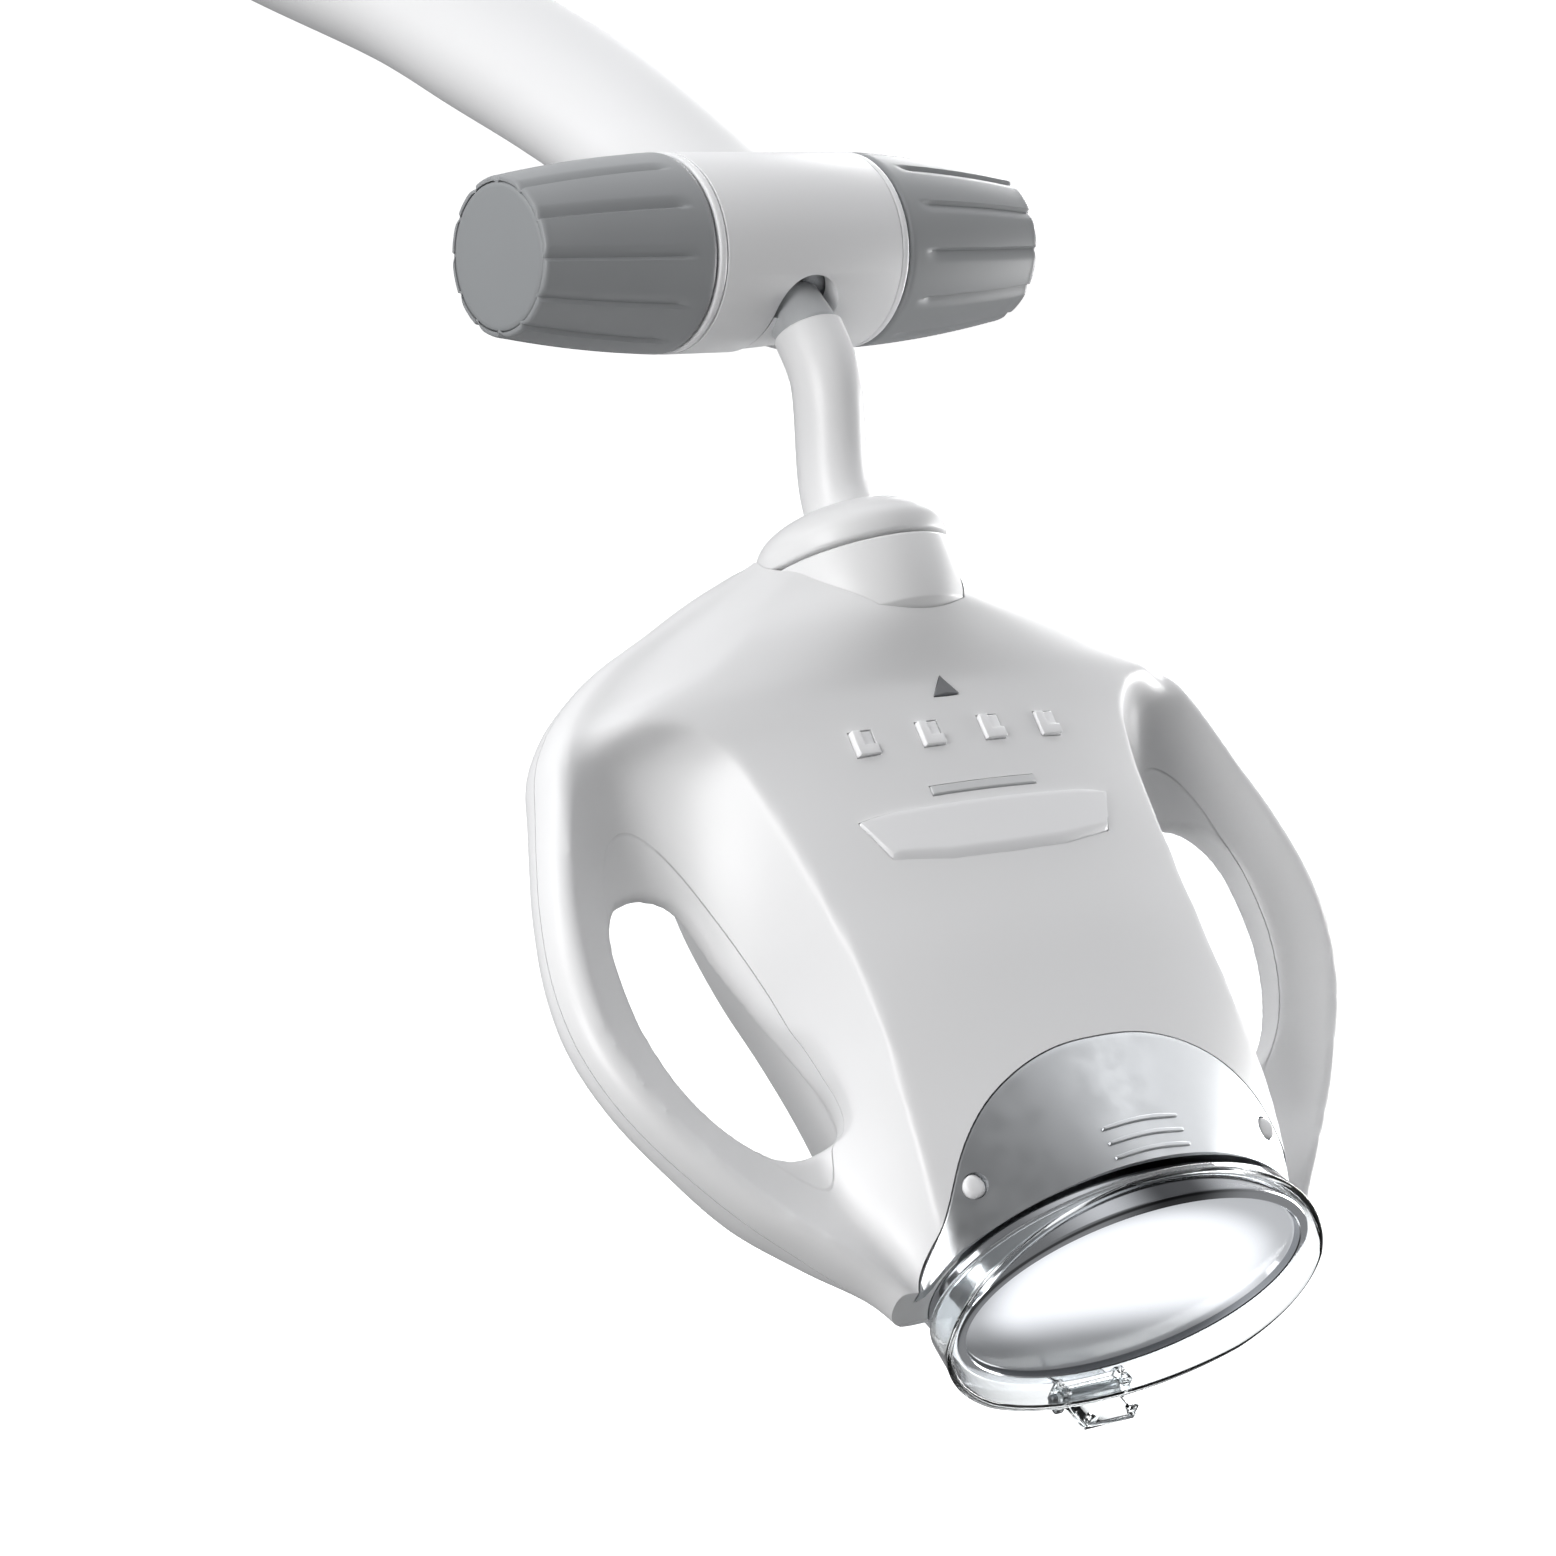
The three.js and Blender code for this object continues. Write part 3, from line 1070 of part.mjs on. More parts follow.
/** The front and rear shells, cut apart at the parting plane. */
function headShells() {
  const neckRoom = intoHead(onNeck(turnedZ(
    barProfile(-BARREL_LONG, COLLAR_DOME, NECK_RADIUS + FIT), ROUND_STEPS,
  )));
  const body = headSkin.subtract(wasm.Manifold.union([
    cavity(), bezelRoom, belowLip, fingerGap(-1), fingerGap(1), neckRoom,
    intoHead(onNeck(neckBarrelBody(FIT))),
  ]));
  const footRoom = onPort(sinkFoot(FIT));
  const screws = wasm.Manifold.union(shellScrewPlaces.map(([x, drop]) => shellScrewBody(x, drop, FIT)));
  const far = 4 * HEAD_DEPTH;
  const wide = 4 * HEAD_HALF_WIDTH;
  const tall = 4 * HEAD_DROP;
  const frontHalf = block(0, -PARTING - far / 2 - FIT / 2, 0, wide, far, tall);
  const rearHalf = block(0, -PARTING + far / 2 + FIT / 2, 0, wide, far, tall);
  const front = body.intersect(frontHalf).add(boardPosts())
    .subtract(frontSkin(visorOutline(SEAM), OVERRUN, VISOR_THICK + FIT))
    .subtract(frontSkin(badgeOutline(FIT), OVERRUN, BADGE_SINK + FIT))
    .subtract(frontSkin(barOutline(FIT), OVERRUN, BADGE_SINK + FIT))
    .subtract(frontSkin(markerOutline(FIT), OVERRUN, BADGE_SINK + FIT))
    .subtract(keyHoles()).subtract(screws).subtract(studRooms).subtract(footRoom);
  const rear = body.intersect(rearHalf).add(fanRibs())
    .subtract(screws).subtract(vents()).subtract(footRoom);
  return { front, rear };
}

// Clear adapter ring round the port, with a clip that turns on a pin at its back
const ADAPTER_GROW = 7.5;
const ADAPTER_GROW_HIGH = 6;
const ADAPTER_FLARE = 3;
const ADAPTER_WALL = 2;
const ADAPTER_OUT = 8;
const ADAPTER_BACK = 7;
const ADAPTER_SLANT = 9;
const CLIP_HALF = 9;
const CLIP_PIN_RADIUS = 1.2;
const CLIP_BARREL = 2.4;
const PIN_STAND = 3.2;
const PIN_PROUD = 5;
const PIN_OUT = -1.5;
const PIN_BACK = LENS_HALF_HIGH + ADAPTER_GROW_HIGH + PIN_STAND;
const LUG_WIDE = 3;
const LUG_LONG = 5;
const LUG_ROOT = 0.6;
const TONGUE_LONG = 9;
const TONGUE_THICK = 1.8;
const TONGUE_SHIFT = 0.4;
const TONGUE_START = 1.4;
const PRONG_WIDE = 3.2;
const PRONG_DEEP = 4.6;
const PRONG_THICK = 2;
const PRONG_INSET = 2;
const PRONG_SHIFT = 1.2;

const atPin = (body) => body.translate([0, PIN_BACK, PIN_OUT]);
const pinHole = atPin(turnedX(
  barProfile(-KNOB_SPREAD, KNOB_SPREAD, CLIP_PIN_RADIUS + FIT), SMALL_STEPS,
));

function clipLugs() {
  const base = LENS_HALF_HIGH + ADAPTER_GROW_HIGH - LUG_ROOT;
  const end = PIN_BACK + CLIP_BARREL;
  return wasm.Manifold.union([-1, 1].map((side) => block(
    side * (CLIP_HALF + FIT + LUG_WIDE / 2), (base + end) / 2, PIN_OUT, LUG_WIDE, end - base, LUG_LONG,
  ).subtract(pinHole)));
}

function adapterRing() {
  const back = BEZEL_WALL + FIT;
  const flare = ADAPTER_GROW + ADAPTER_FLARE;
  const outer = ovals([
    [-ADAPTER_OUT, LENS_HALF_WIDE + flare, LENS_HALF_HIGH + ADAPTER_GROW_HIGH],
    [0, LENS_HALF_WIDE + ADAPTER_GROW, LENS_HALF_HIGH + ADAPTER_GROW_HIGH],
    [ADAPTER_BACK, LENS_HALF_WIDE + back + ADAPTER_WALL, LENS_HALF_HIGH + back + ADAPTER_WALL],
  ]);
  const wide = LENS_HALF_WIDE - ADAPTER_WALL;
  const high = LENS_HALF_HIGH - ADAPTER_WALL + ADAPTER_GROW_HIGH;
  const room = ovals([
    [-ADAPTER_OUT - OVERRUN, wide + flare, high],
    [0, wide + ADAPTER_GROW, high],
    [ADAPTER_BACK + OVERRUN, LENS_HALF_WIDE + back, LENS_HALF_HIGH + back],
  ]);
  const slant = block(0, 0, -HEAD_DEPTH, 4 * HEAD_HALF_WIDTH, 4 * HEAD_DEPTH, 2 * HEAD_DEPTH)
    .rotate([-ADAPTER_SLANT, 0, 0]).translate([0, 0, -ADAPTER_OUT / 2]);
  return onPort(outer.subtract(room).subtract(slant).add(clipLugs()));
}

function clipPin() {
  const half = CLIP_HALF + PIN_PROUD;
  return onPort(atPin(turnedX(barProfile(-half, half, CLIP_PIN_RADIUS), SMALL_STEPS)));
}

function clip() {
  const barrel = turnedX(barProfile(-CLIP_HALF, CLIP_HALF, CLIP_BARREL), SMALL_STEPS);
  const reach = TONGUE_START + TONGUE_LONG / 2;
  const tongue = block(0, TONGUE_SHIFT, -reach, 2 * CLIP_HALF, TONGUE_THICK, TONGUE_LONG);
  const end = TONGUE_START + TONGUE_LONG - PRONG_THICK / 2;
  const prongs = [-1, 1].map((side) => block(
    side * (CLIP_HALF - PRONG_INSET), -PRONG_SHIFT, -end, PRONG_WIDE, PRONG_DEEP, PRONG_THICK,
  ));
  return onPort(atPin(barrel.add(tongue).add(wasm.Manifold.union(prongs))).subtract(pinHole));
}

// The whole lamp
const lamp = new THREE.Group();
lamp.name = 'teeth_whitening_lamp';

const joint = new THREE.Group();
joint.name = 'joint_axis';
joint.position.set(0, -ARM_REACH, -ARM_RISE);
lamp.add(joint);

const head = new THREE.Group();
head.name = 'head_frame';
head.position.set(0, HEAD_Y, HEAD_Z);
head.rotation.x = THREE.MathUtils.degToRad(-HEAD_TILT);
joint.add(head);

const sides = [[-1, 'left'], [1, 'right']];

lamp.add(piece('arm_flange', armFlange(), FINISH.castMetal));
eachScrew((x, z, step) => lamp.add(piece(`flange_screw_${step + 1}`, flangeScrew(x, z), FINISH.steel)));
lamp.add(piece('arm_beam', armBeam(), FINISH.white));

joint.add(piece('joint_housing', jointHousing(), FINISH.white));
joint.add(piece('tilt_shaft', tiltShaft(), FINISH.steel));
for (const [side, word] of sides) {
  joint.add(piece(`trim_ring_${word}`, trimRing(side), FINISH.warmWhite));
  joint.add(piece(`friction_disc_${word}`, frictionDisc(side), FINISH.rubber));
  joint.add(piece(`knob_${word}`, knob(side), FINISH.knobGrey));
  joint.add(piece(`knob_cap_${word}`, knobCap(side), FINISH.capGrey));
}
joint.add(piece('stem_hub', stemHub(), FINISH.steel));
joint.add(piece('stem_sleeve', stemSleeve(), FINISH.sleeveGrey));
joint.add(piece('stem_tube', stemTube(), FINISH.white));
joint.add(piece('neck_collar', neckCollar(), FINISH.white));
joint.add(piece('neck_barrel', neckBarrel(), FINISH.white));

const shells = headShells();
head.add(piece('front_shell', shells.front, FINISH.white));
head.add(piece('rear_shell', shells.rear, FINISH.white));
head.add(piece('badge_plate', frontSkin(badgeOutline(0), BADGE_RISE, BADGE_SINK), FINISH.warmWhite));
head.add(piece('status_bar', frontSkin(barOutline(0), BADGE_RISE / 2, BADGE_SINK), FINISH.panelGrey));
head.add(piece('status_marker', frontSkin(markerOutline(0), BADGE_RISE / 2, BADGE_SINK), FINISH.panelDark));
head.add(piece('visor', visor(), FINISH.silver));
for (const [side, word] of sides) {
  head.add(piece(`visor_stud_${word}`, visorStud(side, 0).subtract(bezelRoom), FINISH.warmWhite));
}
head.add(piece('bezel', bezel(), FINISH.silver));
head.add(piece('lens', lens(), FINISH.glow));
head.add(piece('reflector', reflector(), FINISH.aluminium));
head.add(piece('light_board', lightBoard(), FINISH.board));
head.add(piece('heat_sink', heatSink(), FINISH.aluminium));
head.add(piece('fan_frame', fanFrame(), FINISH.black));
head.add(piece('fan_rotor', fanRotor(), FINISH.black));
head.add(piece('control_board', controlBoard(), FINISH.board));
KEY_REACHES.forEach((x, step) => head.add(piece(`key_${step + 1}`, key(x), FINISH.warmWhite)));
shellScrewPlaces.forEach(([x, drop], step) => {
  head.add(piece(`shell_screw_${step + 1}`, shellScrewBody(x, drop, 0), FINISH.steel));
});
head.add(piece('adapter_ring', adapterRing(), FINISH.clear));
head.add(piece('adapter_clip', clip(), FINISH.clear));
head.add(piece('clip_pin', clipPin(), FINISH.steel));

export default lamp;
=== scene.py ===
"""Teeth whitening lamp: finishes, camera and light around the packed model.

Each sub-assembly is a class. Its sizes are in millimetres, in the frame of that sub-assembly, and a
finished piece is moved into the shared frame, in metres, as its last step. Drops run down the head
from its top, and heights stand out from its parting towards the person who works the lamp.
"""

import json
import logging
import math
from dataclasses import dataclass, field
from enum import Enum
from itertools import pairwise
from typing import Callable, Sequence

import bpy
from mathutils import Matrix, Quaternion, Vector

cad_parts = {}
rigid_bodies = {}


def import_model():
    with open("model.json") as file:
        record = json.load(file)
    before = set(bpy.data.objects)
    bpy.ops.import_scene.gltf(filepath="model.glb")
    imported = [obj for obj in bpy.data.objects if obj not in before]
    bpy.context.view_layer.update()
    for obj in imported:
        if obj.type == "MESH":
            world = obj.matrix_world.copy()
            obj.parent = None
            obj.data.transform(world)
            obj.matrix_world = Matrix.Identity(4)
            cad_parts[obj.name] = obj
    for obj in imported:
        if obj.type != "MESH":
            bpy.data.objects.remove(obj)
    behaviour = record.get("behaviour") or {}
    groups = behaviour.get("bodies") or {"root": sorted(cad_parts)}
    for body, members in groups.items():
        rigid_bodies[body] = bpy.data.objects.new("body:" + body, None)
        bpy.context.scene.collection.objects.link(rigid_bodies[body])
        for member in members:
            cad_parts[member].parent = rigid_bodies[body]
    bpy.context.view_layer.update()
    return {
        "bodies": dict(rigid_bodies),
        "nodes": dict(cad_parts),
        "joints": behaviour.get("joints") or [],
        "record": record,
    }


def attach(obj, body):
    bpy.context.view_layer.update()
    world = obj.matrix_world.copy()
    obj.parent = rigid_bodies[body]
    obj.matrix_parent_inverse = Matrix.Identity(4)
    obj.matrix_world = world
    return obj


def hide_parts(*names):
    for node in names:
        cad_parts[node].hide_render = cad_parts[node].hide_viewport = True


LOG = logging.getLogger("lamp")

METRES = 0.001
IMAGE_SIDE = 1556
FIT = 0.3
OVERRUN = 2.0
SEAM = 0.4
MERGE = 1e-4
NOISE_SPAN = (0.3, 0.7)
# Edges sharper than these angles, in degrees, stay crisp in shading or get rounded
CRISP = 35.0
EVEN = 40.0
SOFT = 50.0
BLUNT = 60.0
# Steps round a circle, for large, middling and small round pieces
LARGE = 128
MIDDLING = 48
SMALL = 32

# Directions and places that the sub-assemblies share
JOINT_PLACE = Vector((0.0, -305.0, -116.0))
NECK_PLACE = Vector((0.0, -42.5, -81.5))
HEAD_PLACE = Vector((0.0, -38.0, -88.0))
HEAD_TILT = 34.0
NECK_TILT = 24.0
PORT_TILT = 26.0
HEAD_DROP = 205.4
HEAD_HALF_WIDTH = 131.5
HEAD_DEPTH = 80.0
LENS_HALF_WIDE = 57.0
LENS_HALF_HIGH = 27.5
BEZEL_WALL = 3.5
BEZEL_DEEP = 27.0

Point = tuple[float, float]
Point3 = tuple[float, float, float]
Place = Callable[[float, float], Vector]
Piece = bpy.types.Object
Tree = bpy.types.NodeTree
Socket = bpy.types.NodeSocket


def tilt(degrees: float) -> Matrix:
    """Returns the matrix that turns by an angle about the lamp's left to right axis."""
    return Matrix.Rotation(math.radians(degrees), 4, "X")


IN_LAMP = Matrix.Scale(METRES, 4)
IN_JOINT = IN_LAMP @ Matrix.Translation(JOINT_PLACE)
IN_NECK = IN_JOINT @ Matrix.Translation(NECK_PLACE) @ tilt(-NECK_TILT)
IN_HEAD = IN_JOINT @ Matrix.Translation(HEAD_PLACE) @ tilt(-HEAD_TILT)
IN_PORT = IN_HEAD @ Matrix.Translation((0.0, 0.0, -HEAD_DROP)) @ tilt(-PORT_TILT)
ALONG_X = Matrix.Rotation(math.radians(90.0), 4, "Y")
ALONG_Y = Matrix.Rotation(math.radians(90.0), 4, "X")
WIDE = (1.0, 0.0, 0.0)
DEEP = (0.0, 1.0, 0.0)


class Side(Enum):
    """The two sides of the lamp, as signs along its left to right axis."""

    LEFT = -1
    RIGHT = 1

    @property
    def word(self) -> str:
        """The side's name, as the nodes spell it."""
        return self.name.lower()


# Finishes


def linear(code: str, alpha: float = 1.0) -> tuple[float, float, float, float]:
    """Turns an sRGB hex colour into the linear values that a shader takes.

    Args:
        code: Six hex digits.
        alpha: The fourth value.

    Returns:
        Linear red, green and blue, and alpha.
    """
    parts = [int(code[start:start + 2], 16) / 255 for start in (0, 2, 4)]
    red, green, blue = [p / 12.92 if p <= 0.04045 else ((p + 0.055) / 1.055) ** 2.4 for p in parts]
    return red, green, blue, alpha


def add_node(
    tree: Tree, kind: str, settings: dict | None = None, links: dict | None = None
) -> bpy.types.Node:
    """Adds a node with its settings and incoming links.

    Args:
        tree: The node tree.
        kind: The node's type name.
        settings: Attribute names, or socket names or numbers, with the values they take.
        links: Socket names or numbers with the outputs that feed them.

    Returns:
        The new node.
    """
    node = tree.nodes.new(kind)
    for key, value in (settings or {}).items():
        if isinstance(key, str) and hasattr(node, key):
            setattr(node, key, value)
        else:
            node.inputs[key].default_value = value
    for key, output in (links or {}).items():
        tree.links.new(output, node.inputs[key])
    return node


def grain(tree: Tree, size: float, detail: float = 2.0) -> Socket:
    """Adds a noise in object space.

    Args:
        tree: The node tree.
        size: The size of one grain in millimetres.
        detail: How many finer layers the noise has.

    Returns:
        The noise value, from 0 to 1.
    """
    place = add_node(tree, "ShaderNodeTexCoord")
    noise = add_node(
        tree, "ShaderNodeTexNoise",
        {"Scale": 1 / (size * METRES), "Detail": detail},
        {"Vector": place.outputs["Object"]},
    )
    return noise.outputs["Fac"]


def spread(
    tree: Tree, value: Socket, low: float, high: float
) -> Socket:
    """Returns the noise value mapped from its middle half onto a range."""
    mapped = add_node(
        tree, "ShaderNodeMapRange",
        {"From Min": NOISE_SPAN[0], "From Max": NOISE_SPAN[1], "To Min": low, "To Max": high},
        {"Value": value},
    )
    return mapped.outputs["Result"]


def toned(
    tree: Tree, value: Socket, dark: str, light: str
) -> Socket:
    """Returns a colour that runs between two hex colours with a value."""
    mixed = add_node(
        tree, "ShaderNodeMix", {"data_type": "RGBA", 6: linear(dark), 7: linear(light)}, {0: value}
    )
    return mixed.outputs[2]


def bumped(
    tree: Tree, value: Socket, height: float
) -> Socket:
    """Returns a normal bumped by a value, whose full height is given in millimetres."""
    bump = add_node(tree, "ShaderNodeBump", {"Distance": height * METRES, "Strength": 1.0}, {"Height": value})
    return bump.outputs["Normal"]


def ramped(
    tree: Tree, value: Socket, ends: Point, levels: Point = (0.0, 1.0)
) -> Socket:
    """Returns a value mapped softly from two ends onto two levels.

    Args:
        tree: The node tree.
        value: The value.
        ends: Where the ramp starts and ends.
        levels: What it gives before its start and past its end.

    Returns:
        The level.
    """
    ramp = add_node(
        tree, "ShaderNodeMapRange",
        {
            "interpolation_type": "SMOOTHSTEP", "From Min": ends[0], "From Max": ends[1],
            "To Min": levels[0], "To Max": levels[1],
        },
        {"Value": value},
    )
    return ramp.outputs["Result"]


def measured(
    tree: Tree, place: Socket, way: Sequence[float]
) -> Socket:
    """Returns how far a place lies along a direction, in lengths of that direction's own measure."""
    return add_node(
        tree, "ShaderNodeVectorMath", {"operation": "DOT_PRODUCT", 1: way}, {0: place}
    ).outputs["Value"]


def from_centre(tree: Tree, frame: Matrix) -> Socket:
    """Returns the object's place measured from a frame's origin."""
    place = add_node(tree, "ShaderNodeTexCoord")
    return add_node(
        tree, "ShaderNodeVectorMath", {"operation": "SUBTRACT", 1: frame.translation},
        {0: place.outputs["Object"]},
    ).outputs["Vector"]


def combined(
    tree: Tree, operation: str, first: Socket, second: Socket
) -> Socket:
    """Returns what a sum, a product or another operation makes of two values."""
    return add_node(tree, "ShaderNodeMath", {"operation": operation}, {0: first, 1: second}).outputs[0]


@dataclass(frozen=True)
class Finish:
    """A material with its name; each kind of finish adds its own shader."""

    name: str

    def make(self) -> bpy.types.Material:
        """Builds the material."""
        material = bpy.data.materials.new(self.name)
        material.use_nodes = True
        tree = material.node_tree
        tree.nodes.clear()
        add_node(tree, "ShaderNodeOutputMaterial", None, {"Surface": self.shader(tree).outputs[0]})
        return material

    def shader(self, tree: Tree) -> bpy.types.Node:
        """Adds the finish's shader to a tree and returns it."""
        raise NotImplementedError


@dataclass(frozen=True)
class MouldedPlastic(Finish):
    """Injection-moulded plastic: a near even colour, with the fine ripple that a mould leaves."""

    dark: str
    light: str
    roughness: float
    grain_size: float
    grain_height: float
    ior: float = 1.54
    patch_size: float = 45.0
    gloss_change: float = 0.03

    def shader(self, tree: Tree) -> bpy.types.Node:
        """Adds the plastic's shader."""
        patches = grain(tree, self.patch_size)
        ripple = grain(tree, self.grain_size, detail=3.0)
        gloss = spread(
            tree, grain(tree, self.patch_size / 3),
            self.roughness * (1 - self.gloss_change), self.roughness * (1 + self.gloss_change),
        )
        return add_node(
            tree, "ShaderNodeBsdfPrincipled", {"IOR": self.ior},
            {
                "Base Color": toned(tree, patches, self.dark, self.light),
                "Roughness": gloss,
                "Normal": bumped(tree, ripple, self.grain_height),
            },
        )


@dataclass(frozen=True)
class Metal(Finish):
    """Metal or bright plating: coloured reflections over fine tool or buffing marks."""

    dark: str
    light: str
    roughness: float
    mark_size: float
    mark_height: float
    stretch: Point3 = (1.0, 1.0, 1.0)
    tint_size: float = 30.0
    gloss_range: Point = (0.85, 1.2)

    def shader(self, tree: Tree) -> bpy.types.Node:
        """Adds the metal's shader."""
        place = add_node(tree, "ShaderNodeTexCoord")
        turned = add_node(
            tree, "ShaderNodeMapping", {"Scale": self.stretch}, {"Vector": place.outputs["Object"]}
        )
        marks = add_node(
            tree, "ShaderNodeTexNoise", {"Scale": 1 / (self.mark_size * METRES), "Detail": 3.0},
            {"Vector": turned.outputs["Vector"]},
        ).outputs["Fac"]
        low, high = self.gloss_range
        return add_node(
            tree, "ShaderNodeBsdfPrincipled", {"Metallic": 1.0},
            {
                "Base Color": self.colour(tree),
                "Roughness": spread(tree, marks, self.roughness * low, self.roughness * high),
                "Normal": bumped(tree, marks, self.mark_height),
            },
        )

    def colour(self, tree: Tree) -> Socket:
        """Returns the metal's colour."""
        return toned(tree, grain(tree, self.tint_size), self.dark, self.light)


@dataclass(frozen=True)
class HeatedMetal(Metal):
    """Bright plating with painted shade: darkened at the middle of one side of a ring, where the visor's lip
    shades it.
    """

    frame: Matrix = field(default_factory=Matrix)
    half: float = 57.0
    # Colour of the painted shade under the visor's lip, and how far it runs across and along the ring
    smoke: str = "3a3b3d"
    smoke_reach: Point = (0.08, 0.5)
    smoke_back: Point = (-0.35, -0.1)

    def colour(self, tree: Tree) -> Socket:
        """Returns the metal's colour, with painted shade darkest at the middle of the ring's front."""
        place, turn = from_centre(tree, self.frame), self.frame.to_3x3()
        across, deep = (
            measured(tree, place, (turn @ Vector(way)).normalized() / (self.half * METRES))
            for way in (WIDE, DEEP)
        )
        reach = add_node(tree, "ShaderNodeMath", {"operation": "ABSOLUTE"}, {0: across}).outputs[0]
        # Painted shade: the colour darkens towards the middle of the ring's front, under the visor's lip
        unshaded = combined(
            tree, "MAXIMUM", ramped(tree, reach, self.smoke_reach), ramped(tree, deep, self.smoke_back)
        )
        return toned(tree, unshaded, self.smoke, self.light)


@dataclass(frozen=True)
class ClearPlastic(Finish):
    """Clear polycarbonate: see-through face on, and dark where the eye looks along its wall."""

    body: str
    edge: str
    ior: float = 1.585
    ripple_size: float = 9.0
    ripple_height: float = 0.02
    haze_size: float = 14.0
    haze: Point = (0.02, 0.05)
    edge_blend: float = 0.32
    edge_range: Point = (0.2, 0.66)

    def shader(self, tree: Tree) -> bpy.types.Node:
        """Adds the clear plastic's shader."""
        normal = bumped(tree, grain(tree, self.ripple_size), self.ripple_height)
        facing = add_node(tree, "ShaderNodeLayerWeight", {"Blend": self.edge_blend}, {"Normal": normal})
        start, end = self.edge_range
        steep = add_node(
            tree, "ShaderNodeMapRange", {"From Min": start, "From Max": end},
            {"Value": facing.outputs["Facing"]},
        )
        return add_node(
            tree, "ShaderNodeBsdfPrincipled",
            {"IOR": self.ior, "Transmission Weight": 1.0},
            {
                "Base Color": toned(tree, steep.outputs["Result"], self.body, self.edge),
                "Roughness": spread(tree, grain(tree, self.haze_size), *self.haze),
                "Normal": normal,
            },
        )


@dataclass(frozen=True)
class LitWindow(Finish):
    """Opal acrylic in front of the lamps: bright in its middle, dimmer at its rim, and softly grey behind,
    where painted shade lowers its glow.

    Places are measured from the centre: `across` and `deep` are the window's half sizes, and the painted
    shade towards the back runs over `fade`, on a line that leans to one side.
    """

    dark: str
    light: str
    frame: Matrix
    across: float
    deep: float
    glow: str = "f7faff"
    lean: float = -0.12
    fade: Point = (5.0, 19.0)
    back_share: float = 0.2
    rim_start: float = 0.5
    rim_share: float = 0.45
    ior: float = 1.49
    tint_size: float = 20.0
    gloss_size: float = 6.0
    gloss: Point = (0.14, 0.16)
    grain_size: float = 2.0
    grain_height: float = 0.002

    def shader(self, tree: Tree) -> bpy.types.Node:
        """Adds the window's shader."""
        place, turn = from_centre(tree, self.frame), self.frame.to_3x3()
        across, deep = (
            measured(tree, place, (turn @ Vector(way)).normalized() / (half * METRES))
            for way, half in ((WIDE, self.across), ((self.lean, 1.0, 0.0), self.deep))
        )
        reach = combined(
            tree, "ADD", combined(tree, "MULTIPLY", across, across), combined(tree, "MULTIPLY", deep, deep)
        )
        # The glow falls to back_share towards the back: painted shade on the lit window
        start, end = self.fade
        glow = combined(
            tree, "MULTIPLY",
            ramped(tree, deep, (start / self.deep, end / self.deep), (1.0, self.back_share)),
            ramped(tree, reach, (self.rim_start, 1.0), (1.0, self.rim_share)),
        )
        return add_node(
            tree, "ShaderNodeBsdfPrincipled",
            {"IOR": self.ior, "Emission Color": linear(self.glow)},
            {
                "Base Color": toned(tree, grain(tree, self.tint_size), self.dark, self.light),
                "Roughness": spread(tree, grain(tree, self.gloss_size), *self.gloss),
                "Emission Strength": glow,
                "Normal": bumped(tree, grain(tree, self.grain_size), self.grain_height),
            },
        )


# Gloss ABS as it leaves a polished mould: cold white, with soft broad highlights
WHITE_ABS = MouldedPlastic("white_abs", "ededed", "efeff0", 0.38, 1.1, 0.002)
# The same plastic from a plainer mould, used for small inserts
SOFT_WHITE_ABS = MouldedPlastic("soft_white_abs", "f6f6f7", "f9f9fa", 0.34, 1.0, 0.003)
# Spark-eroded polypropylene on the knobs: an even grey with a dull sheen
KNOB_POLYPROPYLENE = MouldedPlastic("knob_polypropylene", "959799", "9b9d9f", 0.42, 0.6, 0.006, 1.49)
# The pressed-in knob covers, a shade lighter and smoother
COVER_POLYPROPYLENE = MouldedPlastic("cover_polypropylene", "929496", "979a9c", 0.42, 0.8, 0.004, 1.49)
# Nylon sleeve where the stem leaves the slot
SLEEVE_NYLON = MouldedPlastic("sleeve_nylon", "b0b2b4", "b6b8ba", 0.4, 0.8, 0.006, 1.53)
# Printed grey marks on the panel
PANEL_GREY = MouldedPlastic("panel_grey", "d8d9da", "dddedf", 0.4, 0.8, 0.004, 1.5)
PANEL_DARK = MouldedPlastic("panel_dark", "747578", "7c7d80", 0.4, 0.8, 0.004, 1.5)
# Pressed friction lining
FRICTION_LINING = MouldedPlastic("friction_lining", "262627", "323233", 0.8, 0.6, 0.06, 1.5)
# Glass-filled nylon of the fan
FAN_NYLON = MouldedPlastic("fan_nylon", "1b1c1e", "26282a", 0.5, 0.5, 0.02, 1.53)
# Solder mask over glass-fibre laminate
SOLDER_MASK = MouldedPlastic("solder_mask", "1c5638", "256645", 0.35, 0.9, 0.03, 1.5)
# Chrome plating over ABS: brushed soft on the visor, a clear mirror on the bezel
SATIN_CHROME = Metal("satin_chrome", "d0d2d4", "d4d6d8", 0.38, 7.0, 0.003)
BRIGHT_CHROME = Metal("bright_chrome", "bbbdc0", "c1c3c6", 0.12, 1.5, 0.001)
# Zinc-plated fasteners and turned shafts
TURNED_STEEL = Metal("turned_steel", "a6a8ab", "b2b4b6", 0.3, 0.5, 0.01, (6.0, 1.0, 1.0))
# Extruded and anodised aluminium
ANODISED_ALUMINIUM = Metal("anodised_aluminium", "bcbfc2", "c6c9cc", 0.34, 0.6, 0.01, (1.0, 5.0, 1.0))
# Cast aluminium flange under clear lacquer
LACQUERED_CAST = Metal("lacquered_cast", "9fa1a4", "adafb2", 0.33, 1.8, 0.02)
CLEAR_POLYCARBONATE = ClearPlastic("clear_polycarbonate", "f2f5f6", "060607")
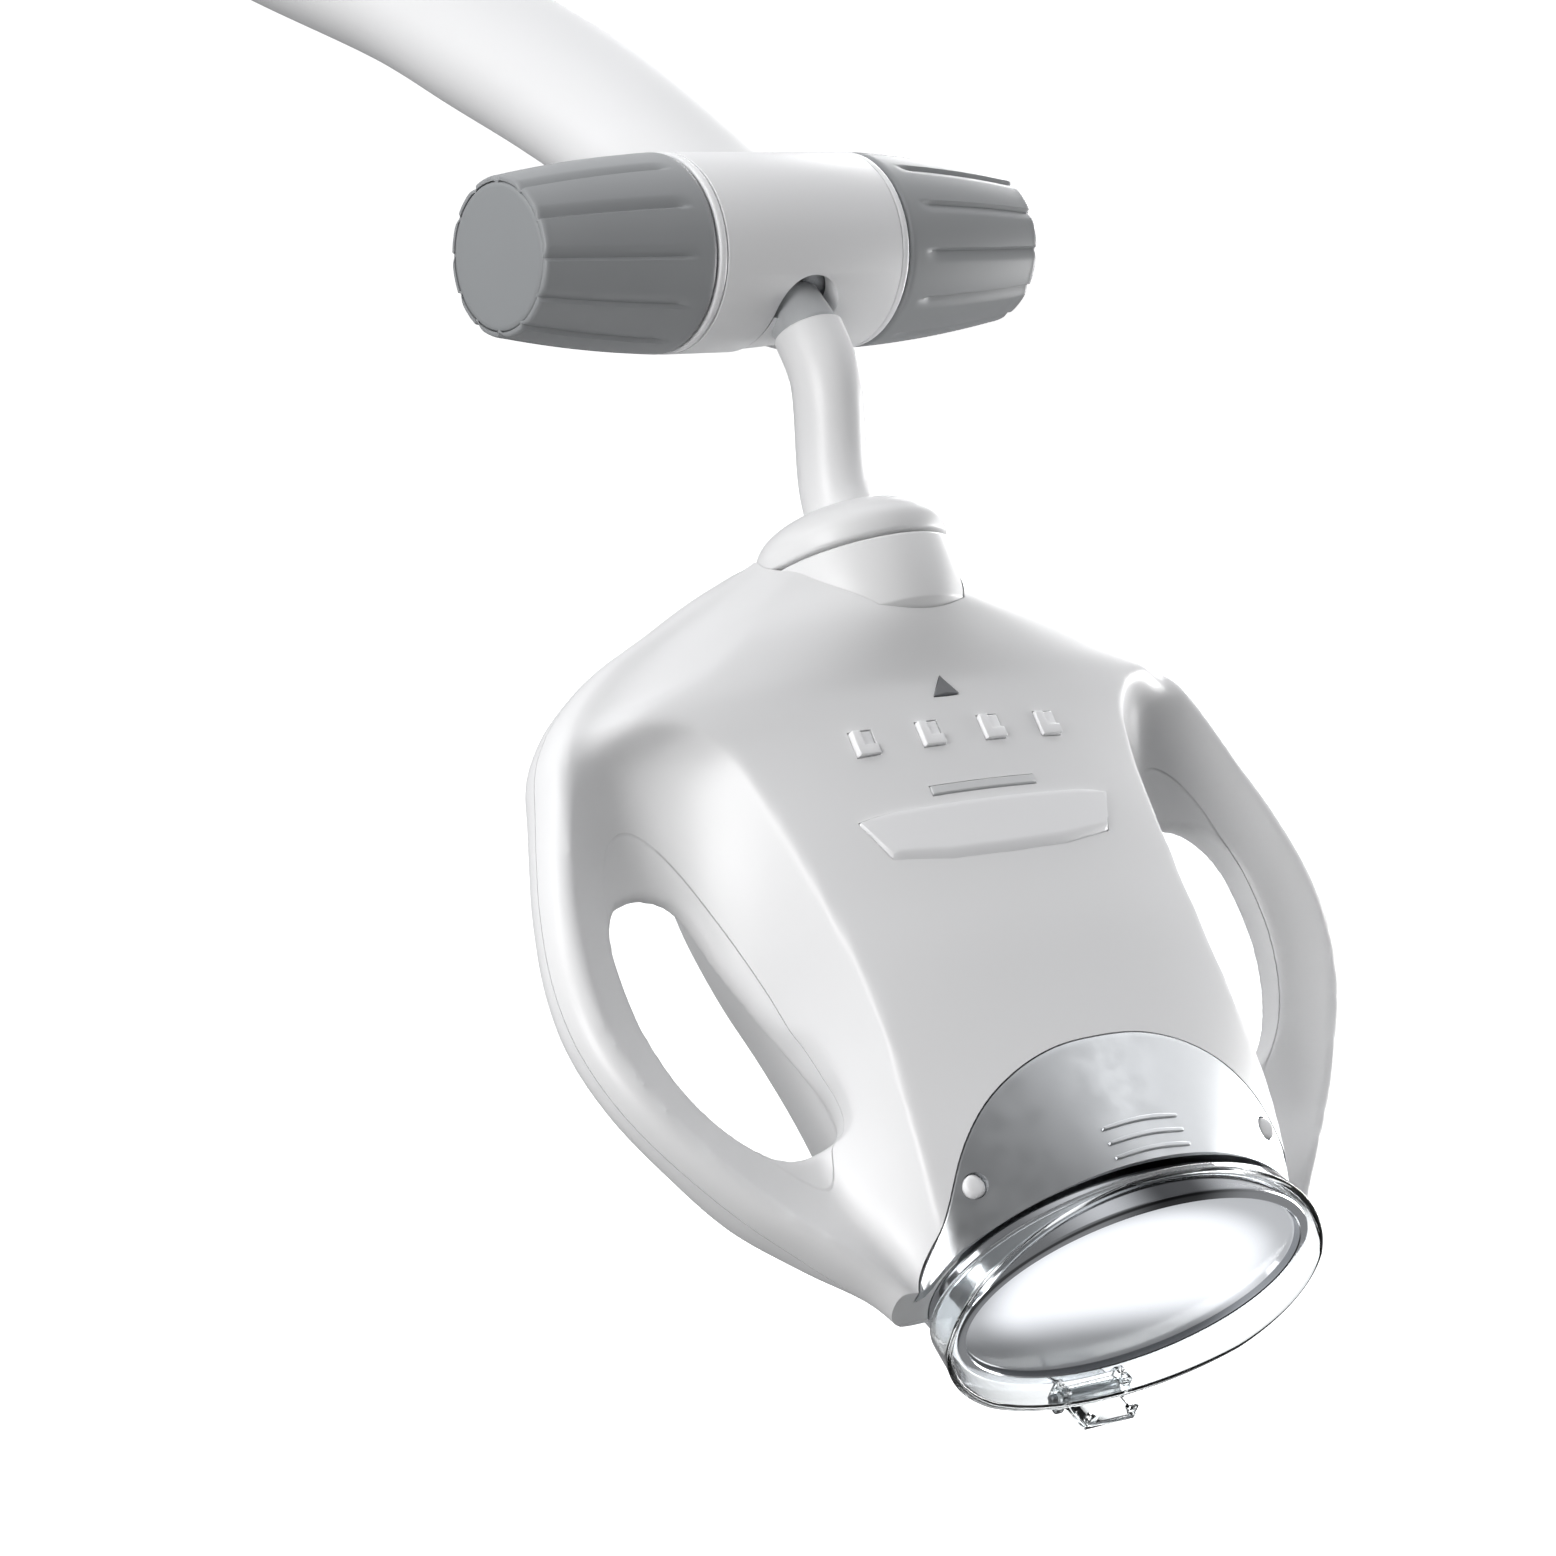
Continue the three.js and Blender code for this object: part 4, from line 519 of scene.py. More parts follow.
# Matt paper of the studio's floor and wall
STUDIO_PAPER = MouldedPlastic("studio_paper", "f4f4f4", "f6f6f6", 0.9, 40.0, 0.01, 1.3)


# Bench tools: small functions that shape a mesh with Blender's own operators


def deselect() -> None:
    """Leaves edit mode and selects nothing."""
    if bpy.context.object and bpy.context.object.mode != "OBJECT":
        bpy.ops.object.mode_set(mode="OBJECT")
    bpy.ops.object.select_all(action="DESELECT")


def take(piece: Piece) -> None:
    """Selects one piece alone and makes it active."""
    deselect()
    piece.select_set(True)
    bpy.context.view_layer.objects.active = piece


def edit(piece: Piece) -> None:
    """Opens one piece in edit mode with all of it selected."""
    take(piece)
    bpy.ops.object.mode_set(mode="EDIT")
    bpy.ops.mesh.select_all(action="SELECT")


def turned(
    name: str, profile: Sequence[Point], segments: int = LARGE, hollow: bool = False
) -> Piece:
    """Turns a profile about Z, ring by ring, from a first circle.

    Args:
        name: The piece's name.
        profile: Pairs of place along Z and radius. A solid piece starts and ends with a small face.
        segments: Steps round the circle.
        hollow: Whether the profile closes on its first pair, as on a ring or a tube.

    Returns:
        The turned piece.
    """
    deselect()
    (start, radius), *rest = profile
    if hollow:
        rest.append(profile[0])
    fill = "NOTHING" if hollow else "NGON"
    bpy.ops.mesh.primitive_circle_add(vertices=segments, radius=radius, fill_type=fill)
    piece = bpy.context.object
    piece.name = name
    edit(piece)
    bpy.ops.transform.translate(value=(0.0, 0.0, start))
    for along, wide in rest:
        bpy.ops.mesh.extrude_region_move(TRANSFORM_OT_translate={"value": (0.0, 0.0, along - start)})
        scale = wide / radius
        bpy.ops.transform.resize(value=(scale, scale, 1.0), center_override=(0.0, 0.0, along))
        start, radius = along, wide
    edit(piece)
    bpy.ops.mesh.remove_doubles(threshold=MERGE)
    bpy.ops.mesh.normals_make_consistent(inside=False)
    deselect()
    return piece


def wrapped(name: str, columns: int, rows: int, place: Place) -> Piece:
    """Lays a grid over a shape given by a formula, whose last column meets its first, and fills its ends.

    Args:
        name: The piece's name.
        columns: Cells across.
        rows: Cells along.
        place: Gives the point for a share across and a share along.

    Returns:
        The piece.
    """
    deselect()
    bpy.ops.mesh.primitive_grid_add(x_subdivisions=columns, y_subdivisions=rows, size=2.0)
    piece = bpy.context.object
    piece.name = name
    for vertex in piece.data.vertices:
        vertex.co = place((vertex.co.x + 1) / 2, (vertex.co.y + 1) / 2)
    edit(piece)
    bpy.ops.mesh.remove_doubles(threshold=MERGE)
    bpy.ops.mesh.select_all(action="DESELECT")
    bpy.ops.mesh.select_mode(type="EDGE")
    bpy.ops.mesh.select_non_manifold()
    bpy.ops.mesh.fill_holes(sides=0)
    bpy.ops.mesh.select_mode(type="VERT")
    bpy.ops.mesh.select_all(action="SELECT")
    bpy.ops.mesh.normals_make_consistent(inside=False)
    deselect()
    return piece


def boxed(name: str, low: Sequence[float], high: Sequence[float]) -> Piece:
    """Adds a box between two corners, with its place in its mesh."""
    deselect()
    bpy.ops.mesh.primitive_cube_add(size=1.0)
    piece = bpy.context.object
    piece.name = name
    spans = [b - a for a, b in zip(low, high)]
    middle = [(a + b) / 2 for a, b in zip(low, high)]
    piece.data.transform(Matrix.Translation(middle) @ Matrix.Diagonal((*spans, 1.0)))
    return piece


def block(name: str, middle: Sequence[float], sizes: Sequence[float]) -> Piece:
    """Adds a box round a middle, with its place in its mesh."""
    low, high = ([m + way * size / 2 for m, size in zip(middle, sizes)] for way in (-1, 1))
    return boxed(name, low, high)


def rod(name: str, start: float, end: float, radius: float, segments: int = MIDDLING) -> Piece:
    """Adds a round rod along Z."""
    return turned(name, ((start, radius), (end, radius)), segments)


def moved(piece: Piece, matrix: Matrix) -> Piece:
    """Applies a matrix to the piece's mesh and returns the piece."""
    piece.data.transform(matrix)
    if matrix.to_3x3().determinant() < 0:
        piece.data.flip_normals()
    return piece


def with_modifier(piece: Piece, kind: str, **settings: object) -> Piece:
    """Applies one modifier to a piece.

    Args:
        piece: The piece.
        kind: The modifier's type name.
        **settings: The modifier's own values.

    Returns:
        The piece.
    """
    take(piece)
    modifier = piece.modifiers.new(kind.lower(), kind)
    for key, value in settings.items():
        setattr(modifier, key, value)
    bpy.ops.object.modifier_apply(modifier=modifier.name)
    return piece


def joined(pieces: Sequence[Piece]) -> Piece:
    """Joins several pieces into the first and returns it."""
    deselect()
    for piece in pieces:
        piece.select_set(True)
    bpy.context.view_layer.objects.active = pieces[0]
    bpy.ops.object.join()
    return pieces[0]


def cut(piece: Piece, *tools: Piece, operation: str = "DIFFERENCE") -> Piece:
    """Cuts a piece with others, one by one, or adds them to it, and uses them up.

    Args:
        piece: The piece that changes.
        *tools: The pieces that cut it or join it.
        operation: DIFFERENCE or UNION.

    Returns:
        The piece.
    """
    for tool in tools:
        with_modifier(piece, "BOOLEAN", operation=operation, solver="MANIFOLD", object=tool)
        bpy.data.objects.remove(tool)
    return piece


def added(piece: Piece, *parts: Piece) -> Piece:
    """Grows a piece by others and returns it."""
    return cut(piece, *parts, operation="UNION")


def copied(piece: Piece, name: str) -> Piece:
    """Copies a piece with its own mesh."""
    twin = piece.copy()
    twin.data = piece.data.copy()
    twin.name = name
    bpy.context.scene.collection.objects.link(twin)
    return twin


def rounded(piece: Piece, width: float, segments: int = 2, angle: float = CRISP) -> Piece:
    """Rounds the sharp edges of a piece."""
    return with_modifier(
        piece, "BEVEL", width=width, segments=segments, limit_method="ANGLE",
        angle_limit=math.radians(angle), harden_normals=False, use_clamp_overlap=True,
    )


def smooth(piece: Piece, angle: float = CRISP) -> Piece:
    """Shades a piece smooth, but for edges sharper than an angle."""
    take(piece)
    bpy.ops.object.shade_smooth_by_angle(angle=math.radians(angle))
    return piece


def melted(piece: Piece, voxel: float, passes: int) -> Piece:
    """Remakes a piece in even cells and smooths it, which rounds all its edges."""
    with_modifier(piece, "REMESH", mode="VOXEL", voxel_size=voxel, adaptivity=0.0)
    return with_modifier(piece, "SMOOTH", factor=0.5, iterations=passes)


def shortened(piece: Piece, matrix: Matrix) -> Piece:
    """Takes away what lies above the plane Z = 0 of a frame, closes the cut and returns the piece."""
    edit(piece)
    bpy.ops.mesh.bisect(
        plane_co=matrix.translation, plane_no=matrix.to_3x3() @ Vector((0.0, 0.0, 1.0)),
        use_fill=True, clear_outer=True, threshold=MERGE / 10,
    )
    deselect()
    return piece


@dataclass
class Dresser:
    """Hands out finishes, fixes pieces to bodies and reports them."""

    frame: dict
    made: dict[str, bpy.types.Material] = field(default_factory=dict)

    def material(self, finish: Finish) -> bpy.types.Material:
        """Returns the finish's material, made on first use."""
        if finish.name not in self.made:
            self.made[finish.name] = finish.make()
        return self.made[finish.name]

    def settle(
        self, piece: Piece, home: Matrix, finish: Finish, body: str, slot: str,
        nodes: Sequence[str] = (),
    ) -> Piece:
        """Puts a finished piece in its place and on its body.

        Args:
            piece: The piece, in the millimetres of its own frame.
            home: The frame's matrix.
            finish: The finish.
            body: The CAD body that the piece moves with.
            slot: The record's material slot; not used.
            nodes: The CAD nodes that the piece stands for.

        Returns:
            The piece.
        """
        moved(piece, home)
        piece.data.materials.clear()
        piece.data.materials.append(self.material(finish))
        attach(piece, body)
        if nodes:
            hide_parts(*nodes)
        LOG.info("%s on %s: %d faces", piece.name, body, len(piece.data.polygons))
        return piece

    def keep(self, finish: Finish, *nodes: str) -> None:
        """Gives CAD nodes that stay as they are their finish."""
        for node in nodes:
            piece = self.frame["nodes"][node]
            piece.data.materials.clear()
            piece.data.materials.append(self.material(finish))


# Curves


def eased(start: float, end: float, into: float, out: float, t: float) -> float:
    """Reads a smooth curve between two values or points.

    Args:
        start: The first value.
        end: The last value.
        into: The slope over the whole run at the first.
        out: The slope at the last.
        t: The share of the run.

    Returns:
        The value there.
    """
    return (
        (2 * t**3 - 3 * t**2 + 1) * start + (t**3 - 2 * t**2 + t) * into
        + (3 * t**2 - 2 * t**3) * end + (t**3 - t**2) * out
    )


def blended(start: float, end: float, share: float) -> float:
    """Returns the value a share of the way from start to end."""
    return start + (end - start) * share


def read_line(corners: Sequence[Point], place: float) -> float:
    """Returns how high a line through corners runs at a place along it."""
    for (near, high), (far, deep) in pairwise(corners):
        if place <= far:
            return blended(high, deep, (place - near) / (far - near))
    return corners[-1][1]


def within(value: float) -> float:
    """Returns a value held between 0 and 1."""
    return min(max(value, 0.0), 1.0)


def through(points: Sequence[Vector], steps: int, closed: bool = False) -> list[Vector]:
    """Runs a smooth curve through points, with spans timed by the root of their length.

    Args:
        points: The points.
        steps: How many places to return between the first and the last.
        closed: Whether the curve comes back to the first point.

    Returns:
        The places, steps + 1 of them, or steps on a closed curve.
    """
    spans = len(points) if closed else len(points) - 1
    count = len(points)

    def at(index: int) -> Vector:
        if closed:
            return points[index % count]
        if index < 0:
            return points[0] * 2 - points[1]
        if index >= count:
            return points[-1] * 2 - points[-2]
        return points[index]

    places = []
    for step in range(steps if closed else steps + 1):
        way = spans * step / steps
        span = min(int(way), spans - 1)
        a, b, c, d = (at(span + shift) for shift in (-1, 0, 1, 2))
        times = [max((q - p).length ** 0.5, MERGE) for p, q in ((a, b), (b, c), (c, d))]
        into = (b - a) / times[0] - (c - a) / (times[0] + times[1]) + (c - b) / times[1]
        out = (c - b) / times[1] - (d - b) / (times[1] + times[2]) + (d - c) / times[2]
        places.append(eased(b, c, into * times[1], out * times[1], way - span))
    return places


def tube(
    name: str, points: Sequence[Point], size: Callable[[float], Point], rows: int, columns: int,
    ends: float = 0.0,
) -> Piece:
    """Sweeps an oval along a path in the lamp's middle plane.

    Args:
        name: The piece's name.
        points: Pairs of Y and Z that the path runs through.
        size: Half width and half height for a share along the path.
        rows: Cells along.
        columns: Cells round.
        ends: How far the two ends are rounded in.

    Returns:
        The tube.
    """
    path = through([Vector((0.0, y, z)) for y, z in points], rows)
    length = sum((b - a).length for a, b in pairwise(path))

    def place(across: float, along: float) -> Vector:
        step = min(int(round(along * rows)), rows)
        before, after = path[max(step - 1, 0)], path[min(step + 1, rows)]
        way = (after - before).normalized()
        up = Vector((0.0, -way.z, way.y))
        wide, high = size(along)
        edge = min(along, 1 - along) * length
        inset = max(0.0, ends - edge)
        angle = 2 * math.pi * across
        return path[step] + Vector(((wide - inset) * math.cos(angle), 0.0, 0.0)) + up * (
            (high - inset) * math.sin(angle)
        )

    return wrapped(name, columns, rows, place)


# The head's surface


@dataclass(frozen=True)
class HeadRow:
    """One section of the head, as shares of its length, half width and depth.

    A section runs from the middle of the panel out to the rim, down into the scoop, up to the crest
    of the grip loop, round the loop's side, and back along the rear to the middle.
    """

    drop: float
    side: float
    crest: float
    crest_high: float
    back_high: float
    rim: float
    rim_high: float
    front: float
    dip: float
    dip_high: float
    body: float
    back: float


ROW_SHARES = (
    (-0.06, 0.18, 0.15, -0.125, -0.275, 0.06, -0.05, -0.04, 0.11, -0.075, 0.08, -0.325),
    (-0.025, 0.32, 0.27, -0.1, -0.31, 0.12, 0.025, 0.05, 0.21, -0.038, 0.15, -0.425),
    (0.02, 0.47, 0.41, -0.075, -0.32, 0.21, 0.1, 0.125, 0.33, 0.012, 0.26, -0.525),
    (0.068, 0.63, 0.57, -0.062, -0.31, 0.33, 0.14, 0.2, 0.47, 0.038, 0.35, -0.6),
    (0.127, 0.765, 0.7, -0.05, -0.3, 0.47, 0.14, 0.235, 0.61, 0.038, 0.4, -0.65),
    (0.17, 0.83, 0.785, -0.03, -0.29, 0.66, 0.08, 0.25, 0.73, 0.02, 0.42, -0.67),
    (0.205, 0.865, 0.825, -0.03, -0.28, 0.58, 0.12, 0.25, 0.71, -0.04, 0.43, -0.68),
    (0.245, 0.89, 0.85, -0.035, -0.27, 0.525, 0.135, 0.25, 0.71, -0.1, 0.435, -0.69),
    (0.31, 0.93, 0.885, -0.045, -0.265, 0.495, 0.145, 0.253, 0.71, -0.17, 0.43, -0.69),
    (0.38, 0.968, 0.925, -0.05, -0.26, 0.478, 0.16, 0.256, 0.68, -0.215, 0.42, -0.69),
    (0.472, 1.0, 0.955, -0.056, -0.26, 0.465, 0.175, 0.262, 0.61, -0.238, 0.39, -0.68),
    (0.555, 1.0, 0.955, -0.062, -0.26, 0.456, 0.188, 0.275, 0.555, -0.25, 0.35, -0.67),
    (0.638, 0.962, 0.914, -0.062, -0.26, 0.456, 0.188, 0.281, 0.53, -0.25, 0.325, -0.66),
    (0.716, 0.893, 0.84, -0.062, -0.265, 0.464, 0.175, 0.29, 0.53, -0.205, 0.32, -0.65),
    (0.803, 0.787, 0.735, -0.05, -0.28, 0.468, 0.15, 0.306, 0.552, -0.14, 0.335, -0.63),
    (0.876, 0.672, 0.626, -0.025, -0.24, 0.465, 0.112, 0.32, 0.538, -0.07, 0.36, -0.59),
    (0.945, 0.57, 0.53, -0.02, -0.17, 0.45, 0.078, 0.318, 0.505, -0.04, 0.32, -0.47),
    (1.045, 0.48, 0.44, -0.02, -0.16, 0.4, 0.062, 0.28, 0.43, -0.01, 0.25, -0.3),
)
HEAD_ROWS = tuple(HeadRow(*shares) for shares in ROW_SHARES)
# Above this drop the valley beside the rim fills up to a round shoulder
SHOULDER_DROP = 0.3
SHOULDER_BLEND = 0.03
# How far round half a section each of its stretches ends, from the front's middle to the back's
PANEL_END, DIP_END, CREST_END, SIDE_END, LOOP_END, REAR_END = 0.2, 0.36, 0.5, 0.72, 0.8, 0.94
REAR_FLAT = 0.7
LOOP_ROOT = 0.17
VALLEY_BEND = 1.5
# The rim's rounding: shifts across it in millimetres with their weights
RIM_WEIGHTS = ((-3.0, 0.1), (-1.5, 0.22), (0.0, 0.36), (1.5, 0.22), (3.0, 0.1))


def row_at(share: float) -> HeadRow:
    """Reads the head's section at any share of its length.

    Args:
        share: The share of the drop.

    Returns:
        The section there, on smooth curves through the named rows.
    """
    place = 1
    while place < len(HEAD_ROWS) - 1 and HEAD_ROWS[place].drop < share:
        place += 1
    before, near = HEAD_ROWS[max(place - 2, 0)], HEAD_ROWS[place - 1]
    far, after = HEAD_ROWS[place], HEAD_ROWS[min(place + 1, len(HEAD_ROWS) - 1)]
    run = far.drop - near.drop
    t = within((share - near.drop) / run)
    values = {}
    for name in HeadRow.__dataclass_fields__:
        a, b, c, d = (getattr(row, name) for row in (before, near, far, after))
        into = run * (c - a) / (far.drop - before.drop)
        out = run * (d - b) / (after.drop - near.drop)
        values[name] = eased(b, c, into, out, t)
    return HeadRow(**values)


def beyond_rim(row: HeadRow, reach: float) -> float:
    """Reads the front between the rim and the crest: a valley at the finger gaps, a round shoulder elsewhere.

    Args:
        row: The section.
        reach: The reach as a share of the half width.

    Returns:
        The height as a share of the depth.
    """
    if reach <= row.dip:
        t = (reach - row.rim) / (row.dip - row.rim)
        valley = blended(row.rim_high, row.dip_high, 1 - (1 - t) ** 2)
    else:
        t = min((reach - row.dip) / (row.crest - row.dip), 1.0)
        valley = blended(row.dip_high, row.crest_high, t**VALLEY_BEND)
    if row.drop > SHOULDER_DROP:
        return valley
    lift = within((row.dip_high - row.crest_high) / (2 * SHOULDER_BLEND) + 0.5)
    run = row.crest - row.rim
    slope = 2 * (row.rim_high - row.front) / row.rim * run
    shoulder = eased(row.rim_high, row.crest_high, slope, 0.0, within((reach - row.rim) / run))
    return blended(valley, shoulder, lift**2 * (3 - 2 * lift))


def front_height(x: float, drop: float) -> float:
    """Returns the height of the head's front at a reach and a drop, in millimetres."""
    row = row_at(drop / HEAD_DROP)
    reach = abs(x) / HEAD_HALF_WIDTH
    if reach <= row.rim:
        return blended(row.front, row.rim_high, (reach / row.rim) ** 2) * HEAD_DEPTH
    return beyond_rim(row, reach) * HEAD_DEPTH


def soft_height(x: float, drop: float) -> float:
    """Returns the front's height with its rim rounded as a mould rounds it."""
    return sum(weight * front_height(x + shift, drop) for shift, weight in RIM_WEIGHTS)


def section_point(row: HeadRow, share: float) -> Point:
    """Walks round half a section of the head.

    Args:
        row: The section.
        share: How far round, from the middle of the front to the middle of the back.

    Returns:
        Reach and height, as shares of the half width and of the depth.
    """
    root = blended(row.body, row.crest, LOOP_ROOT)
    if share < PANEL_END:
        t = share / PANEL_END
        return row.rim * t, blended(row.front, row.rim_high, t * t)
    if share < DIP_END:
        reach = blended(row.rim, row.dip, (share - PANEL_END) / (DIP_END - PANEL_END))
        return reach, beyond_rim(row, reach)
    if share < CREST_END:
        reach = blended(row.dip, row.crest, (share - DIP_END) / (CREST_END - DIP_END))
        return reach, beyond_rim(row, reach)
    if share < SIDE_END:
        angle = math.pi * (0.5 - (share - CREST_END) / (SIDE_END - CREST_END))
        middle, half = (row.crest_high + row.back_high) / 2, (row.crest_high - row.back_high) / 2
        return row.crest + (row.side - row.crest) * math.cos(angle), middle + half * math.sin(angle)
    if share < LOOP_END:
        return blended(row.crest, root, (share - SIDE_END) / (LOOP_END - SIDE_END)), row.back_high
    if share < REAR_END:
        t = (share - LOOP_END) / (REAR_END - LOOP_END)
        high = blended(row.back_high, row.back, math.sin(t * math.pi / 2))
        return blended(root, row.body * REAR_FLAT, t * t), high
    return blended(row.body * REAR_FLAT, 0.0, (share - REAR_END) / (1 - REAR_END)), row.back


# Sub-assemblies


@dataclass
class ClampJoint:
    """The clamp that holds the head's tilt: a slotted housing, two rings and two fluted knobs."""

    dresser: Dresser
    radius: float = 27.0
    spread: float = 172.0
    housing_width: float = 60.6
    bore: float = 20.6
    ring: float = 2.5
    ring_bore: float = 12.3
    boss: float = 12.0
    boss_start: float = 17.6
    knob_end: float = 21.0
    edge: float = 2.0
    cover: float = 19.4
    cover_thick: float = 1.6
    cover_dome: float = 0.7
    flutes: int = 12
    flute_deep: float = 1.1
    flute_sharp: float = 0.7
    flute_soft: float = 3.4
    flute_start: float = 6.0
    flute_fade: float = 5.0
    flute_round: Point = (0.7, 1.6)
    taper: Point = (0.39, 0.61)
    barrel_steps: int = 48
    barrel_cells: int = 360
    barrel_crease: float = 45.0
    edge_steps: int = 6
    cover_steps: int = 12
    housing_edge: float = 1.1
    ring_edge: float = 0.8
    slot_half: float = 10.4
    slot_from: float = 12.0
    slot_to: float = 118.0

    def build(self) -> None:
        """Builds and dresses the joint."""
        self.housing()
        for side in Side:
            self.trim_ring(side)
            self.knob(side)
            self.knob_cover(side)
        self.dresser.keep(TURNED_STEEL, "tilt_shaft", "stem_hub")
        self.dresser.keep(FRICTION_LINING, "friction_disc_left", "friction_disc_right")

    def slot_tool(self) -> Piece:
        """Returns the tool that cuts the round-ended slot."""
        half, turn = self.slot_half, self.slot_half / self.radius
        first = math.radians(self.slot_from) + turn
        last = math.radians(self.slot_to) - turn

        def place(across: float, out: float) -> Vector:
            radius = blended(self.bore - OVERRUN * 3, self.radius + OVERRUN, out)
            part, t = divmod(across * 4, 1.0)
            theta = math.pi * (1 - t) if part == 0 else -math.pi * t
            over = half / radius * math.sin(theta)
            x, angle = {
                0: (half * math.cos(theta), first - over),
                1: (half, blended(first, last, t)),
                2: (half * math.cos(theta), last - over),
                3: (-half, blended(last, first, t)),
            }.get(int(part), (-half, first))
            return Vector((x, -radius * math.cos(angle), -radius * math.sin(angle)))

        return wrapped("slot_tool", columns=96, rows=2, place=place)

    def housing(self) -> None:
        """Builds the white housing with the slot that the stem swings in."""
        half = self.housing_width / 2
        piece = turned("housing_shell", (
            (-half, self.bore), (-half, self.radius), (half, self.radius), (half, self.bore),
        ), hollow=True)
        moved(piece, ALONG_X)
        cut(piece, self.slot_tool())
        smooth(rounded(piece, self.housing_edge, 3))
        self.dresser.settle(piece, IN_JOINT, WHITE_ABS, "arm", "white_gloss", ("joint_housing",))

    def trim_ring(self, side: Side) -> None:
        """Builds one ring between the housing and a knob."""
        start = self.housing_width / 2 + FIT
        piece = turned(f"trim_ring_{side.word}_face", (
            (start, self.ring_bore), (start, self.radius), (start + self.ring, self.radius),
            (start + self.ring, self.ring_bore),
        ), hollow=True)
        smooth(rounded(piece, self.ring_edge, 3), EVEN)
        self.seat(piece, side, SOFT_WHITE_ABS, "arm", "white_soft", f"trim_ring_{side.word}")

    def seat(
        self, piece: Piece, side: Side, finish: Finish, body: str, slot: str, node: str
    ) -> None:
        """Turns a piece made for the right side onto its side of the joint and settles it."""
        home = IN_JOINT if side is Side.RIGHT else IN_JOINT @ Matrix.Rotation(math.pi, 4, "Z")
        self.dresser.settle(piece, home @ ALONG_X, finish, body, slot, (node,))

    def knob(self, side: Side) -> None:
        """Builds one barrel-shaped knob with long shallow flutes."""
        start = self.housing_width / 2 + 2 * FIT + self.ring
        half = self.spread / 2
        floor = half - self.cover_thick - FIT
        run = half - self.edge - start - self.edge
        fall = self.radius - self.knob_end
        evenly, squared = self.taper
        barrel = []
        for step in range(self.barrel_steps + 1):
            along = self.edge + run * (step / self.barrel_steps)
            share = along / (half - start)
            barrel.append((start + along, self.radius - fall * (evenly * share + squared * share**2)))
        (first, wide), (last, narrow) = barrel[0], barrel[-1]
        inner_edge, outer_edge = [], []
        for step in range(1, self.edge_steps):
            turn = math.pi / 2 * step / self.edge_steps
            inner_edge.append((
                first - self.edge * math.cos(turn), wide - self.edge * (1 - math.sin(turn))
            ))
            outer_edge.append((
                last + self.edge * math.sin(turn), narrow - self.edge / 2 * (1 - math.cos(turn))
            ))
        lip = self.cover + FIT
        outline = [
            (self.boss_start, FIT), (self.boss_start, self.boss), (start, self.boss),
            (start, self.radius - self.edge), *inner_edge, *barrel, *outer_edge,
            (half, self.knob_end - self.edge / 2), (half, lip), (floor, lip), (floor, FIT),
        ]
        rows = len(outline) - 1

        def place(across: float, along: float) -> Vector:
            x, radius = outline[int(round(along * rows))]
            angle = 2 * math.pi * across
            if radius > lip:
                sector = 2 * math.pi / self.flutes
                off = ((angle + sector / 2) % sector - sector / 2) * radius
                reach = self.flute_sharp if off < 0 else self.flute_soft
                deep = max(0.0, 1 - abs(off) / reach) ** self.flute_round[0 if off < 0 else 1]
                radius -= self.flute_deep * deep * within((x - start - self.flute_start) / self.flute_fade)
            return Vector((radius * math.cos(angle), radius * math.sin(angle), x))

        piece = wrapped(f"knob_{side.word}_barrel", self.barrel_cells, rows, place)
        smooth(piece, self.barrel_crease)
        self.seat(piece, side, KNOB_POLYPROPYLENE, f"{side.word}_knob", "knob_grey", f"knob_{side.word}")

    def knob_cover(self, side: Side) -> None:
        """Builds the smooth domed cover pressed into a knob's end."""
        half = self.spread / 2
        base, edge = half - self.cover_thick, self.cover_dome / 2
        shares = (1 - step / self.cover_steps for step in range(1, self.cover_steps + 1))
        dome = [
            (half + self.cover_dome * (1 - share**2), self.cover * share + edge / 9) for share in shares
        ]
        piece = turned(f"knob_cover_{side.word}", (
            (base, self.cover), (half - edge, self.cover), (half, self.cover - edge), *dome,
        ))
        smooth(piece, SOFT)
        self.seat(piece, side, COVER_POLYPROPYLENE, f"{side.word}_knob", "cap_grey", f"knob_cap_{side.word}")


@dataclass
class SocketScrew:
    """A round-headed screw with a hexagon socket, made about Z with its seat at zero."""

    shank: float
    head: float
    head_high: float
    deep: float
    socket: float
    tip: Point = (0.8, 0.9)
    edge: float = 0.22
    socket_floor: float = 0.4
    steps: int = 40

    def build(self, name: str) -> Piece:
        """Returns the screw."""
        narrow, start = self.tip
        piece = turned(name, (
            (-self.deep, self.shank * narrow), (-self.deep * start, self.shank), (0.0, self.shank),
            (0.0, self.head), (self.head_high, self.head),
        ), self.steps)
        rounded(piece, self.head_high * self.edge, 3, BLUNT)
        floor = self.head_high * self.socket_floor
        hexagon = rod("socket_tool", floor, self.head_high + OVERRUN, self.socket, 6)
        return smooth(cut(piece, hexagon))


